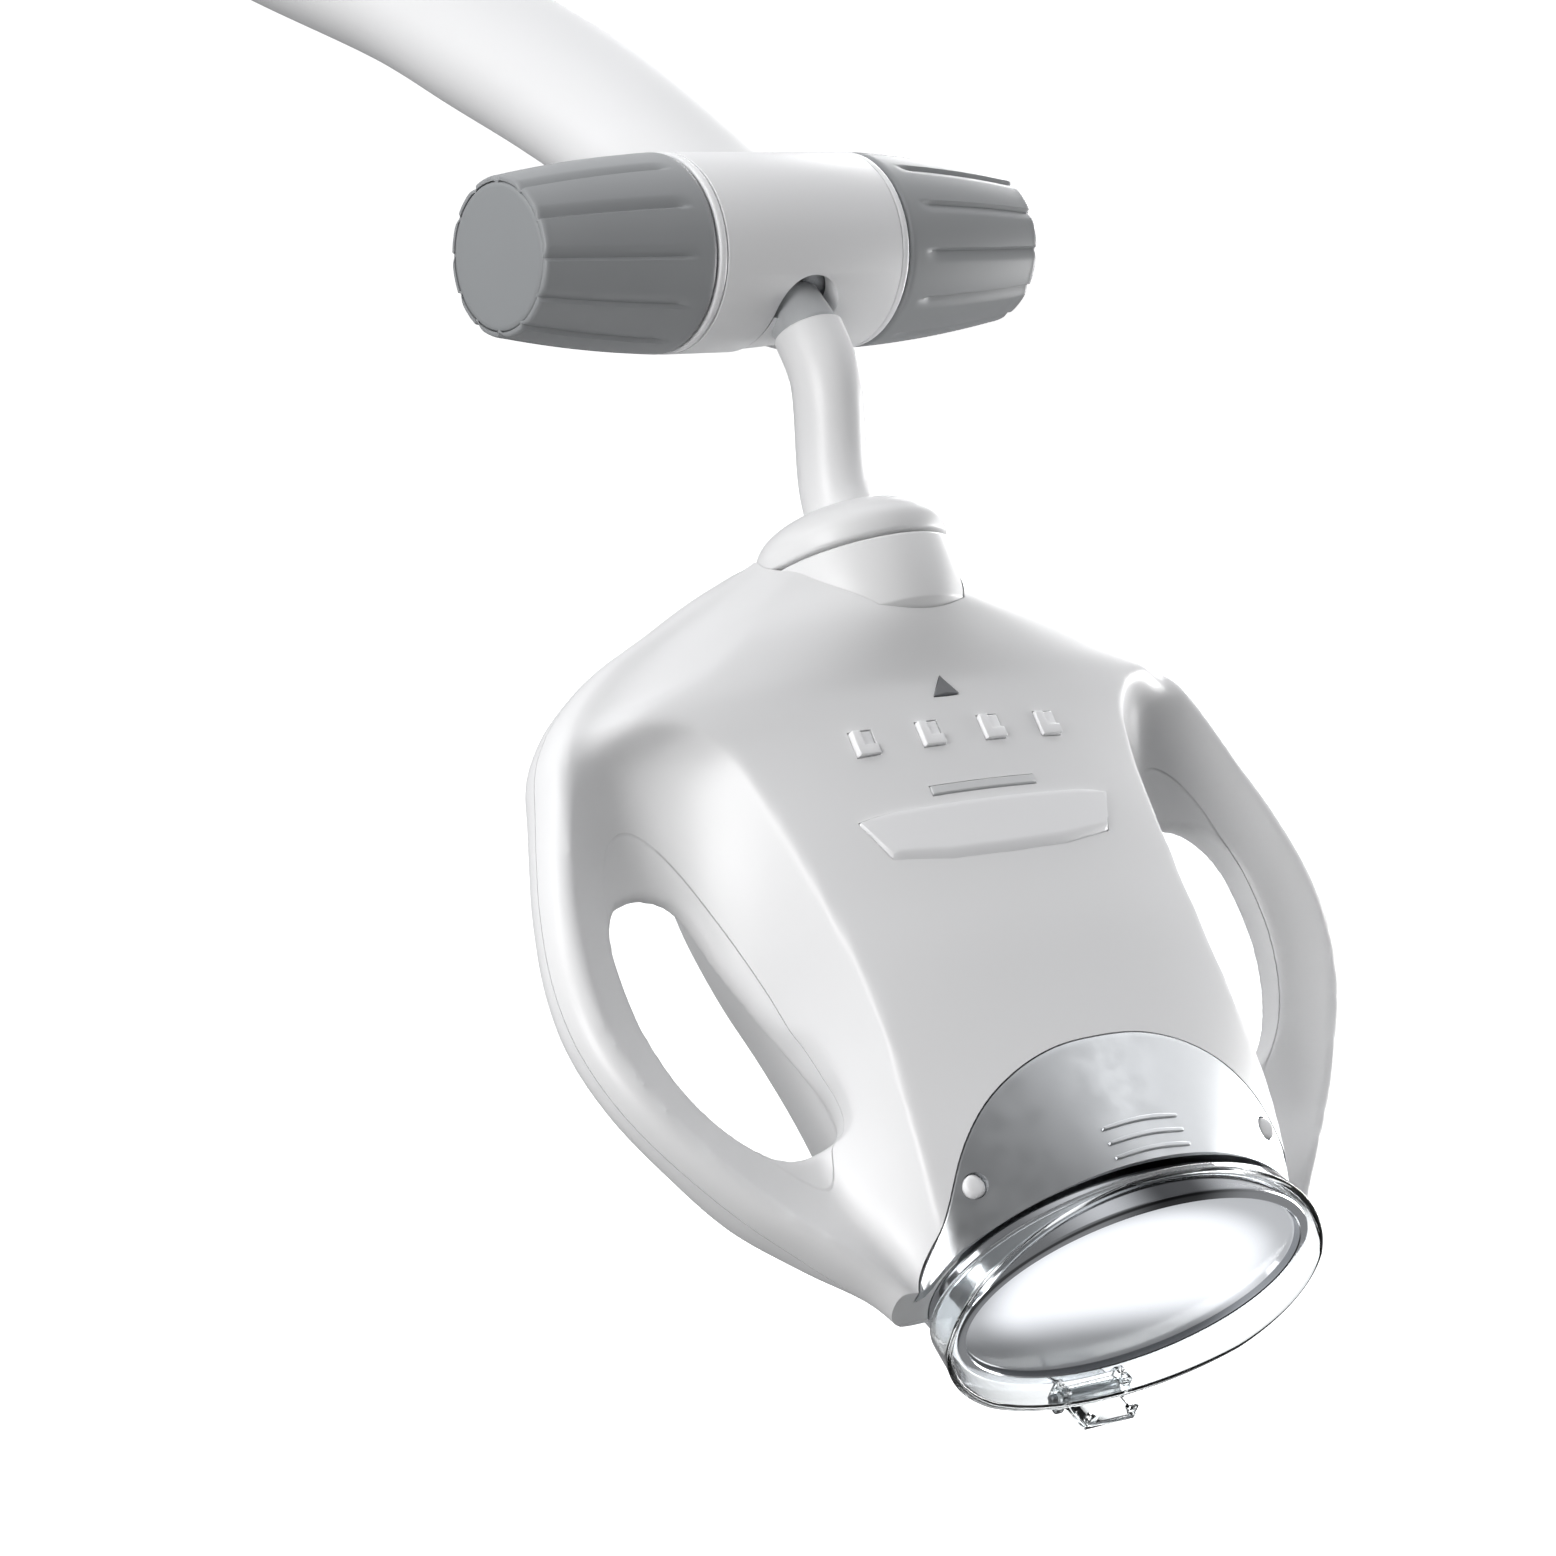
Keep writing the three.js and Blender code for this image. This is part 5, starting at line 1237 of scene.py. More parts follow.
@dataclass
class Arm:
    """The curved beam and the flange that it hangs from."""

    dresser: Dresser
    reach: float = 305.0
    rise: float = 116.0
    wide: float = 27.0
    high: float = 18.0
    wide_end: float = 30.0
    high_end: float = 20.0
    bends: tuple[Point, ...] = (
        (0.0, 0.04), (0.045, 0.098), (0.151, 0.241), (0.257, 0.359), (0.37, 0.47), (0.492, 0.591),
        (0.737, 0.778), (0.88, 0.905),
    )
    joint_radius: float = 27.0
    flange: float = 38.0
    flange_thick: float = 9.0
    flange_edge: float = 1.2
    screw_ring: float = 32.0
    screw_shank: float = 2.5
    screw_head: float = 4.4
    screw_head_deep: float = 2.6
    screw_socket: float = 2.0

    def build(self) -> None:
        """Builds and dresses the arm."""
        self.beam()
        self.flange_disc()
        for step in range(4):
            self.flange_screw(step)

    def beam(self) -> None:
        """Builds the white oval beam, hollowed where it meets the joint."""
        end = self.reach - self.flange_thick - FIT
        path = [(self.reach * out, self.rise * up) for out, up in self.bends]
        piece = tube(
            "arm_shell", [*path, (end + OVERRUN, self.rise)],
            lambda share: (
                blended(self.wide, self.wide_end, share), blended(self.high, self.high_end, share)
            ), rows=96, columns=96,
        )
        cheek = rod("joint_tool", -self.reach, self.reach, self.joint_radius + FIT, LARGE)
        cut(piece, moved(cheek, ALONG_X))
        shortened(piece, Matrix.Translation((0.0, end, 0.0)) @ tilt(-90.0))
        smooth(piece, EVEN)
        self.dresser.settle(piece, IN_JOINT, WHITE_ABS, "arm", "white_gloss", ("arm_beam",))

    def screw_places(self) -> list[Point]:
        """Returns the four places on the screw circle."""
        angles = [math.radians(45 + 90 * step) for step in range(4)]
        return [(self.screw_ring * math.cos(a), self.screw_ring * math.sin(a)) for a in angles]

    def flange_disc(self) -> None:
        """Builds the cast flange with its four countersunk seats."""
        piece = rod("flange_disc", 0.0, self.flange_thick, self.flange, LARGE)
        rounded(piece, self.flange_edge, 3)
        seat = self.flange_thick - self.screw_head_deep
        tools = []
        for x, z in self.screw_places():
            tool = turned("seat_tool", (
                (-OVERRUN, self.screw_shank + FIT), (seat, self.screw_shank + FIT),
                (seat, self.screw_head + FIT), (self.flange_thick + OVERRUN, self.screw_head + FIT),
            ), MIDDLING)
            tools.append(moved(tool, Matrix.Translation((x, z, 0.0))))
        smooth(cut(piece, joined(tools)))
        home = IN_LAMP @ ALONG_Y
        self.dresser.settle(piece, home, LACQUERED_CAST, "arm", "cast_aluminium", ("arm_flange",))

    def flange_screw(self, step: int) -> None:
        """Builds one screw of the flange."""
        high = self.screw_head_deep - FIT
        seat = self.flange_thick - self.screw_head_deep + FIT
        x, z = self.screw_places()[step]
        screw = SocketScrew(self.screw_shank, self.screw_head, high, seat - FIT, self.screw_socket)
        piece = screw.build(f"flange_screw_{step + 1}_steel")
        home = IN_LAMP @ ALONG_Y @ Matrix.Translation((x, z, seat))
        self.dresser.settle(piece, home, TURNED_STEEL, "arm", "steel", (f"flange_screw_{step + 1}",))


@dataclass
class Stem:
    """The stem that swings with the head: grey sleeve, bent tube and domed collar."""

    dresser: Dresser
    hub: float = 20.2
    sleeve: float = 8.6
    radius: float = 9.6
    lean: float = 42.0
    turn: float = 33.0
    bend_out: float = 0.75
    bend_down: float = 1.25
    neck: float = 26.0
    dome: float = 15.0
    skirt: float = 4.0
    edge: float = 1.0
    edge_low: float = 0.3
    dome_tip: float = 0.05
    dome_steps: int = 20
    barrel_crease: float = 25.0
    barrel_long: float = 22.0
    barrel_edge: float = 3.0
    barrel_round: float = 0.8
    groove: float = 0.9
    groove_edge: float = 0.5

    def out(self, reach: float) -> Point:
        """Returns the place at a reach from the joint's axis, down the stem."""
        lean = math.radians(self.lean)
        return -reach * math.cos(lean), -reach * math.sin(lean)

    def neck_place(self, drop: float) -> Point:
        """Returns the place at a drop along the neck's axis."""
        angle = math.radians(NECK_TILT)
        return NECK_PLACE.y - drop * math.sin(angle), NECK_PLACE.z - drop * math.cos(angle)

    def build(self) -> None:
        """Builds and dresses the stem and the barrel that turns under its collar."""
        dresser = self.dresser
        sleeve = tube(
            "stem_sleeve_skin",
            [self.out(self.hub + FIT), self.out((self.hub + self.turn) / 2), self.out(self.turn)],
            lambda share: (self.sleeve, self.sleeve), rows=40, columns=64, ends=0.5,
        )
        smooth(sleeve, EVEN)
        dresser.settle(sleeve, IN_JOINT, SLEEVE_NYLON, "stem", "sleeve_grey", ("stem_sleeve",))
        start = self.out(self.turn - self.sleeve / 4)
        bend = (start[0] - self.radius * self.bend_out, start[1] - self.radius * self.bend_down)
        path = [start, bend, self.neck_place(-self.dome - self.radius / 2), self.neck_place(-self.skirt)]
        stem = tube(
            "stem_tube_skin", path, lambda share: (self.radius, self.radius), rows=90, columns=72, ends=0.7
        )
        dresser.settle(smooth(stem, EVEN), IN_JOINT, WHITE_ABS, "stem", "white_gloss", ("stem_tube",))
        self.collar()
        self.barrel()

    def collar(self) -> None:
        """Builds the domed collar over the neck."""
        rise, steps = self.dome - self.skirt, self.dome_steps
        dome = [
            (self.skirt + rise * math.sin(turn), self.neck * math.cos(turn) + self.dome_tip)
            for turn in (math.pi / 2 * step / steps for step in range(1, steps + 1))
        ]
        piece = turned("neck_collar_dome", (
            (0.0, self.neck - self.edge),
            (self.edge * self.edge_low, self.neck - self.edge * self.edge_low),
            (self.edge, self.neck), (self.skirt, self.neck), *dome,
        ))
        smooth(piece, SOFT)
        self.dresser.settle(piece, IN_NECK, WHITE_ABS, "stem", "white_gloss", ("neck_collar",))

    def barrel(self) -> None:
        """Builds the gloss barrel between the collar and the head."""
        edge = self.groove_edge
        piece = turned("neck_barrel_skin", (
            (-self.barrel_long, self.neck - self.barrel_edge),
            (self.barrel_edge - self.barrel_long, self.neck),
            (-self.groove - edge, self.neck), (-self.groove, self.neck - edge),
        ))
        smooth(rounded(piece, self.barrel_round, 2, self.barrel_crease), SOFT)
        self.dresser.settle(piece, IN_NECK, WHITE_ABS, "lamp_head", "white_gloss", ("neck_barrel",))


@dataclass
class Head:
    """The head: two shells with their grip loops, the silver visor, the panel marks and the keys."""

    dresser: Dresser
    parting: float = -12.0
    voxel: float = 1.25
    passes: int = 12
    shell_angle: float = 32.0
    front_wall: float = 4.0
    nose_wall: float = 7.6
    rear_wall: float = 3.5
    lip: float = 10.5
    visor_thick: float = 3.0
    visor_end: float = 1.04
    lip_edge: float = 1.2
    arch: tuple[Point, ...] = (
        (0.0, 0.711), (0.122, 0.716), (0.236, 0.738), (0.327, 0.772), (0.395, 0.818), (0.441, 0.871),
        (0.487, 0.93), (0.525, 0.993),
    )
    arch_line: list[Point] = field(default_factory=list)
    gap: tuple[Point, ...] = (
        (0.63, 0.385), (0.7, 0.37), (0.78, 0.385), (0.83, 0.43), (0.845, 0.5), (0.83, 0.575),
        (0.79, 0.64), (0.73, 0.695), (0.64, 0.733), (0.53, 0.735), (0.44, 0.715), (0.428, 0.685),
        (0.46, 0.635), (0.512, 0.565), (0.57, 0.48),
    )
    gap_steps: int = 120
    rim_wall: float = 4.0
    swell_high: float = 10.0
    swell_half: float = 36.0
    swell_drops: tuple[float, float] = (18.0, 42.0)
    neck: float = 26.0
    neck_foot: float = -22.0
    neck_edge: float = 3.0
    neck_top: float = 15.0
    cavity_start: float = 0.1
    cavity_end: float = 1.03
    cavity_rings: int = 12
    cavity_wide: float = 0.93
    cavity_front: tuple[Point, ...] = ((0.5, 0.25), (0.92, 0.85))
    cavity_side: tuple[Point, ...] = ((1.0, 0.6), (0.94, 0.85))
    cavity_floor: Point = (0.6, 1.4)
    nose: float = 0.66
    visor_edge: float = 0.5
    visor_angle: float = 30.0
    ridge_count: int = 3
    ridge_drop: float = 169.5
    ridge_pitch: float = 4.1
    ridge_half: float = 13.0
    ridge_high: float = 1.6
    ridge_taper: float = 0.3
    ridge_rise: float = 0.6
    ridge_edge: float = 0.4
    stud_radius: float = 3.0
    stud_reach: float = 51.0
    stud_drop: float = 176.0
    stud_rise: float = 0.9
    stud_sink: float = 0.4
    stud_dome: tuple[Point, ...] = ((0.4, 1.0), (0.8, 0.86), (1.0, 0.55))
    badge: Point3 = (43.0, 76.0, 15.0)
    badge_low: tuple[Point, ...] = ((0.0, 1.0), (0.46, 0.97), (0.88, 0.8), (1.0, 0.07))
    badge_least: float = 0.1
    badge_fall: float = 0.07
    badge_fall_start: float = 0.7
    bar: Point3 = (18.0, 70.4, 2.4)
    marker: Point3 = (4.2, 39.5, 5.5)
    marker_point: float = 0.98
    mark_rise: float = 0.8
    mark_sink: float = 1.0
    mark_edge: float = 0.25
    key_side: float = 7.0
    key_drop: float = 55.5
    key_reaches: tuple[float, ...] = (-32.0, -10.7, 10.7, 32.0)
    key_rise: float = 1.3
    key_edge: float = 0.35
    key_hole_end: float = -4.6
    notch_place: float = 0.22
    notch_side: float = 0.62
    notch_deep: float = 1.1
    skirt_front: float = 8.6
    skirt_side: float = 9.4
    skirt_thick: float = 1.2
    plunger_side: float = 3.0
    plunger_foot: float = 5.7
    vent_count: int = 7
    vent_half: float = 26.0
    vent_high: float = 3.0
    vent_pitch: float = 7.0
    vent_drop: float = 62.0
    vent_depths: Point = (0.37, 0.87)
    vent_edge: float = 1.2
    screw_places: tuple[Point, ...] = ((114.4, 71.9), (94.7, 164.3))
    screw_head: float = 3.4
    screw_head_high: float = 2.4
    screw_shank: float = 1.6
    screw_deep: float = 8.0
    screw_socket: float = 1.7
    screw_sink: float = 1.0

    def build(self) -> None:
        """Builds and dresses the head."""
        both = [(-reach, drop) for reach, drop in reversed(self.arch[1:])] + list(self.arch)
        line = through([Vector((reach, drop, 0.0)) for reach, drop in both], 240)
        self.arch_line = [(point.x, point.y) for point in line if point.x > -10 * MERGE]
        body = self.skin()
        front = copied(body, "front_shell_skin")
        rear = body
        rear.name = "rear_shell_skin"
        self.finish_front(front)
        self.finish_rear(rear)
        self.visor()
        for side in Side:
            self.stud(side)
        self.marks()
        for step, reach in enumerate(self.key_reaches):
            self.key(step + 1, reach)
        self.screws()
        dresser = self.dresser
        dresser.keep(ANODISED_ALUMINIUM, "heat_sink", "reflector")
        dresser.keep(SOLDER_MASK, "light_board", "control_board")
        dresser.keep(FAN_NYLON, "fan_frame", "fan_rotor")

    # The two shells

    def skin(self) -> Piece:
        """Returns the whole head with its finger gaps, melted soft, and hollowed."""

        def place(across: float, along: float) -> Vector:
            row = row_at(blended(HEAD_ROWS[0].drop, HEAD_ROWS[-1].drop, along))
            share = 2 * across if across <= 0.5 else 2 - 2 * across
            side = 1 if across <= 0.5 else -1
            reach, high = section_point(row, share)
            x, drop, height = reach * HEAD_HALF_WIDTH, row.drop * HEAD_DROP, high * HEAD_DEPTH
            if share < 0.5:
                height += self.swelling(x, drop)
            return Vector((side * x, -height, -drop))

        piece = wrapped("rear_shell_skin", columns=240, rows=150, place=place)
        cut(piece, *(self.gap_tool(side) for side in Side))
        melted(piece, self.voxel, self.passes)
        return cut(
            piece, self.cavity(), self.neck_room(),
            oval_rod("bezel_room", -HEAD_DROP, BEZEL_DEEP + FIT, BEZEL_WALL + FIT), self.lip_room(),
        )

    def gap_tool(self, side: Side) -> Piece:
        """Returns the prism of one finger gap."""
        steps = self.gap_steps
        points = [
            Vector((side.value * reach * HEAD_HALF_WIDTH, 0.0, -drop * HEAD_DROP)) for reach, drop in self.gap
        ]
        outline = through(points, steps, closed=True)

        def place(across: float, along: float) -> Vector:
            point = outline[int(round(across * steps)) % steps]
            wall = row_at(-point.z / HEAD_DROP).rim * HEAD_HALF_WIDTH + self.rim_wall
            reach = max(abs(point.x), wall * min(2 * (1 - along), 1.0))
            return Vector((side.value * reach, (2 * along - 1) * HEAD_DEPTH, point.z))

        return wrapped("gap_tool", steps, 8, place)

    def cavity(self) -> Piece:
        """Returns the room inside the two shells."""

        def ring(share: float) -> list[Vector]:
            row = row_at(share)
            half = min(row.rim, row.body) * self.cavity_wide * HEAD_HALF_WIDTH
            wall = self.nose_wall if share > self.nose else self.front_wall
            fall = (row.front - row.rim_high) * HEAD_DEPTH
            front, back = row.front * HEAD_DEPTH - wall, row.back * HEAD_DEPTH + self.rear_wall
            floor, floor_rise = self.cavity_floor
            outline = [
                (0.0, front), *((half * wide, front - fall * low) for wide, low in self.cavity_front),
                (half, front - fall - self.front_wall),
                *((half * wide, blended(front, back, low)) for wide, low in self.cavity_side),
                (half * floor, back + floor_rise), (0.0, back),
            ]
            other = [(-x, high) for x, high in outline[-2:0:-1]]
            return [Vector((x, -high, -share * HEAD_DROP)) for x, high in (*outline, *other)]

        last = self.cavity_rings - 1
        rings = [ring(blended(self.cavity_start, self.cavity_end, step / last)) for step in range(last + 1)]
        count = len(rings[0])

        def place(across: float, along: float) -> Vector:
            return rings[int(round(along * last))][int(round(across * count)) % count]

        return wrapped("cavity", count, last, place)

    def swelling(self, x: float, drop: float) -> float:
        """Returns how far the front rises at a place to meet the foot of the neck barrel."""
        start, end = self.swell_drops
        t = within((end - drop) / (end - start))
        return self.swell_high * t * t * (3 - 2 * t) * math.exp(-((x / self.swell_half) ** 2))

    def neck_room(self) -> Piece:
        """Returns the round room that the neck barrel sits in."""
        radius = self.neck + FIT
        tool = turned("neck_room", (
            (self.neck_foot - FIT, radius - self.neck_edge), (self.neck_foot + self.neck_edge, radius),
            (self.neck_top, radius),
        ))
        return moved(tool, IN_HEAD.inverted() @ IN_NECK)

    def lip_room(self) -> Piece:
        """Returns the block below the plane that ends the shells and the visor."""
        far = 4 * HEAD_HALF_WIDTH
        room = boxed("lip_room", (-far, -far, -far), (far, far, self.lip))
        return moved(room, IN_HEAD.inverted() @ IN_PORT)

    def half(self, front: bool) -> Piece:
        """Returns the block that takes one side of the parting away."""
        far = 4 * HEAD_HALF_WIDTH
        plane = -self.parting
        if front:
            return boxed("half_tool", (-far, plane - FIT / 2, -far), (far, far, far))
        return boxed("half_tool", (-far, -far, -far), (far, plane + FIT / 2, far))

    def plated(
        self, name: str, reach: float, top: Callable[[float], float], low: Callable[[float], float],
        above: float, below: float, columns: int, rows: int,
    ) -> Piece:
        """Makes a plate that follows the front of the head.

        Args:
            name: The piece's name.
            reach: Half its width.
            top: The drop of its upper edge at a share of the reach.
            low: The drop of its lower edge there.
            above: How far its face stands out of the head's front.
            below: How deep its back lies.
            columns: Cells across the width.
            rows: Cells down the face.

        Returns:
            The plate.
        """

        def place(across: float, along: float) -> Vector:
            share = 2 * along - 1
            x = share * reach
            first, last = top(abs(share)), low(abs(share))
            step = across * (2 * rows + 2)
            if step <= rows:
                drop, rise = blended(first, last, step / rows), above
            elif step < 2 * rows + 2:
                drop, rise = blended(last, first, (step - rows - 1) / rows), -below
            else:
                drop, rise = first, above
            return Vector((x, -soft_height(x, drop) - rise, -drop))

        return wrapped(name, 2 * rows + 2, columns, place)

    def arch_drop(self, share: float) -> float:
        """Returns the drop of the visor's upper edge at a share of its reach."""
        return read_line(self.arch_line, share * self.arch[-1][0]) * HEAD_DROP

    def visor_plate(self, name: str, grow: float, above: float, below: float) -> Piece:
        """Returns the plate under or of the visor, grown by a margin."""
        reach = self.arch[-1][0] * HEAD_HALF_WIDTH + grow
        return self.plated(
            name, reach, lambda share: self.arch_drop(share) - grow,
            lambda share: max(self.visor_end * HEAD_DROP, self.arch_drop(share) + self.visor_thick),
            above, below, columns=96, rows=44,
        )

    def mark_plate(
        self, name: str, sizes: Point3, kind: str, grow: float, above: float, below: float
    ) -> Piece:
        """Returns the plate of a mark on the panel: the badge, the bar or the marker."""
        half, drop, high = sizes
        start, tall = drop - grow, high + 2 * grow

        def top(share: float) -> float:
            if kind == "badge":
                past = (share - self.badge_fall_start) / (1 - self.badge_fall_start)
                return start + tall * self.badge_fall * max(0.0, past) ** 2
            return start + tall * share * self.marker_point if kind == "marker" else start

        def low(share: float) -> float:
            level = max(read_line(self.badge_low, share), self.badge_least) if kind == "badge" else 1.0
            return start + tall * level

        columns = 48 if kind == "badge" else 16
        return self.plated(name, half + grow, top, low, above, below, columns, rows=10)

    def finish_front(self, piece: Piece) -> None:
        """Cuts the front shell's own seats and dresses it."""
        seat = self.visor_plate("visor_seat", SEAM, OVERRUN, self.visor_thick + FIT)
        cut(piece, self.half(front=True), seat)
        for kind, sizes in (("badge", self.badge), ("bar", self.bar), ("marker", self.marker)):
            cut(piece, self.mark_plate("mark_seat", sizes, kind, FIT, OVERRUN, self.mark_sink + FIT))
        for reach in self.key_reaches:
            cut(piece, self.post(
                "key_hole", reach, self.key_drop, self.key_side + 2 * FIT, -HEAD_DEPTH / 2, self.key_hole_end
            ))
        cut(piece, *self.screw_rooms())
        smooth(piece, self.shell_angle)
        self.dresser.settle(piece, IN_HEAD, WHITE_ABS, "lamp_head", "white_gloss", ("front_shell",))

    def finish_rear(self, piece: Piece) -> None:
        """Cuts the vents and the screw seats of the rear shell and dresses it."""
        cut(piece, self.half(front=False))
        start, end = (HEAD_DEPTH * share for share in self.vent_depths)
        for step in range(self.vent_count):
            drop = self.vent_drop + step * self.vent_pitch
            cut(piece, rounded(boxed(
                "vent", (-self.vent_half, start, -drop - self.vent_high / 2),
                (self.vent_half, end, self.vent_high / 2 - drop),
            ), self.vent_edge, 3))
        cut(piece, *self.screw_rooms())
        smooth(piece, self.shell_angle)
        self.dresser.settle(piece, IN_HEAD, WHITE_ABS, "lamp_head", "white_gloss", ("rear_shell",))

    # Visor, studs and marks

    def visor(self) -> None:
        """Builds the silver visor with its three curved ridges."""
        dome = self.visor_plate("visor_dome", 0.0, 0.0, self.visor_thick)
        piece = rounded(dome, self.visor_edge, 2, SOFT)
        for step in range(self.ridge_count):
            drop = self.ridge_drop + step * self.ridge_pitch
            ridge = self.plated(
                "ridge", self.ridge_half, lambda share, drop=drop: drop + share**2,
                lambda share, drop=drop: (
                    drop + share**2 + self.ridge_high * (1 - self.ridge_taper * share**4)
                ),
                self.ridge_rise, self.visor_thick / 2, columns=24, rows=4,
            )
            added(piece, rounded(ridge, self.ridge_edge, 3, SOFT))
        room = oval_rod("bezel_room", -HEAD_DROP, BEZEL_DEEP + FIT, BEZEL_WALL + FIT + self.lip_edge)
        cut(piece, room, self.lip_room())
        for side in Side:
            room = rod("stud_room", -2 * self.visor_thick, 2 * OVERRUN, self.stud_radius + FIT)
            cut(piece, moved(room, self.stud_place(side)))
        smooth(piece, self.visor_angle)
        self.dresser.settle(piece, IN_HEAD, SATIN_CHROME, "lamp_head", "silver", ("visor",))

    def stud_place(self, side: Side) -> Matrix:
        """Returns the frame of one stud, with +Z out of the head."""
        high = front_height(self.stud_reach, self.stud_drop)
        return Matrix.Translation((
            side.value * self.stud_reach, self.stud_sink - high, -self.stud_drop
        )) @ ALONG_Y

    def stud(self, side: Side) -> None:
        """Builds one white stud of the visor."""
        dome = ((self.stud_rise * up, self.stud_radius * out) for up, out in self.stud_dome)
        profile = ((FIT - self.visor_thick, self.stud_radius), *dome)
        piece = smooth(turned(f"stud_{side.word}_cap", profile, MIDDLING), BLUNT)
        self.dresser.settle(
            piece, IN_HEAD @ self.stud_place(side), SOFT_WHITE_ABS, "lamp_head", "white_soft",
            (f"visor_stud_{side.word}",),
        )

    def marks(self) -> None:
        """Builds the bare badge plate, the status bar and the status marker."""
        for kind, sizes, rise, finish, slot, node in (
            ("badge", self.badge, self.mark_rise, SOFT_WHITE_ABS, "white_soft", "badge_plate"),
            ("bar", self.bar, self.mark_rise / 2, PANEL_GREY, "panel_grey", "status_bar"),
            ("marker", self.marker, self.mark_rise / 2, PANEL_DARK, "panel_dark", "status_marker"),
        ):
            piece = self.mark_plate(f"{kind}_face", sizes, kind, 0.0, rise, self.mark_sink)
            smooth(rounded(piece, self.mark_edge, 2, SOFT), EVEN)
            self.dresser.settle(piece, IN_HEAD, finish, "lamp_head", slot, (node,))

    # Keys and screws

    def post(
        self, name: str, reach: float, drop: float, side: float, start: float, end: float
    ) -> Piece:
        """Returns a square post that runs into the head at a reach and a drop, between two depths."""
        half = side / 2
        return boxed(name, (reach - half, start, -drop - half), (reach + half, end, half - drop))

    def key(self, number: int, reach: float) -> None:
        """Builds one raised key with its cut corner, its skirt and its plunger."""
        drop, face = self.key_drop, -self.skirt_front
        top = -front_height(reach, drop) - self.key_rise
        piece = self.post(f"key_{number}_cap", reach, drop, self.key_side, top, face)
        shift, side = self.key_side * self.notch_place, self.key_side * self.notch_side
        cut(piece, self.post(
            "notch", reach + shift, drop - shift, side, top - self.notch_deep, top + self.notch_deep
        ))
        rounded(piece, self.key_edge, 3, SOFT)
        base = self.post("skirt", reach, drop, self.skirt_side, face, face + self.skirt_thick)
        plunger = self.post("plunger", reach, drop, self.plunger_side, face + FIT, -self.plunger_foot)
        smooth(added(piece, base, plunger))
        self.dresser.settle(
            piece, IN_HEAD, SOFT_WHITE_ABS, f"button_{number}", "white_soft", (f"key_{number}",)
        )

    def screw_frames(self) -> list[Matrix]:
        """Returns the seats of the shell screws, with +Z out of the back."""
        frames = []
        for side in Side:
            for reach, drop in self.screw_places:
                back = -row_at(drop / HEAD_DROP).back_high * HEAD_DEPTH
                under = back - self.screw_sink - self.screw_head_high
                frames.append(Matrix.Translation((side.value * reach, under, -drop)) @ tilt(-90.0))
        return frames

    def screw_rooms(self) -> list[Piece]:
        """Returns the tools that cut the screws' rooms."""
        shank, head = self.screw_shank + FIT, self.screw_head + FIT
        profile = (
            (-self.screw_deep - FIT, shank), (-FIT, shank), (-FIT, head),
            (self.screw_head_high + 4 * OVERRUN, head),
        )
        steps = SocketScrew.steps
        return [moved(turned("screw_room", profile, steps), frame) for frame in self.screw_frames()]

    def screws(self) -> None:
        """Builds the four screws that hold the shells together."""
        screw = SocketScrew(
            self.screw_shank, self.screw_head, self.screw_head_high, self.screw_deep, self.screw_socket
        )
        for number, frame in enumerate(self.screw_frames(), 1):
            node = f"shell_screw_{number}"
            piece = screw.build(f"{node}_steel")
            self.dresser.settle(piece, IN_HEAD @ frame, TURNED_STEEL, "lamp_head", "steel", (node,))


def oval(name: str, profile: Sequence[Point], columns: int = 160) -> Piece:
    """Makes an oval body in the port's frame.

    Args:
        name: The piece's name.
        profile: Pairs of place along Z and growth over the lens's own outline. A profile that comes
            back to its first pair makes a ring.
        columns: Steps round the oval.

    Returns:
        The body.
    """
    rows = len(profile) - 1

    def place(across: float, along: float) -> Vector:
        z, grow = profile[int(round(along * rows))]
        angle = 2 * math.pi * across
        return Vector((
            (LENS_HALF_WIDE + grow) * math.cos(angle), (LENS_HALF_HIGH + grow) * math.sin(angle), z
        ))

    return wrapped(name, columns, rows, place)


def oval_rod(name: str, start: float, end: float, grow: float) -> Piece:
    """Makes a straight oval tool along the port's axis, in the head's frame."""
    return moved(oval(name, ((start, grow), (end, grow))), IN_HEAD.inverted() @ IN_PORT)


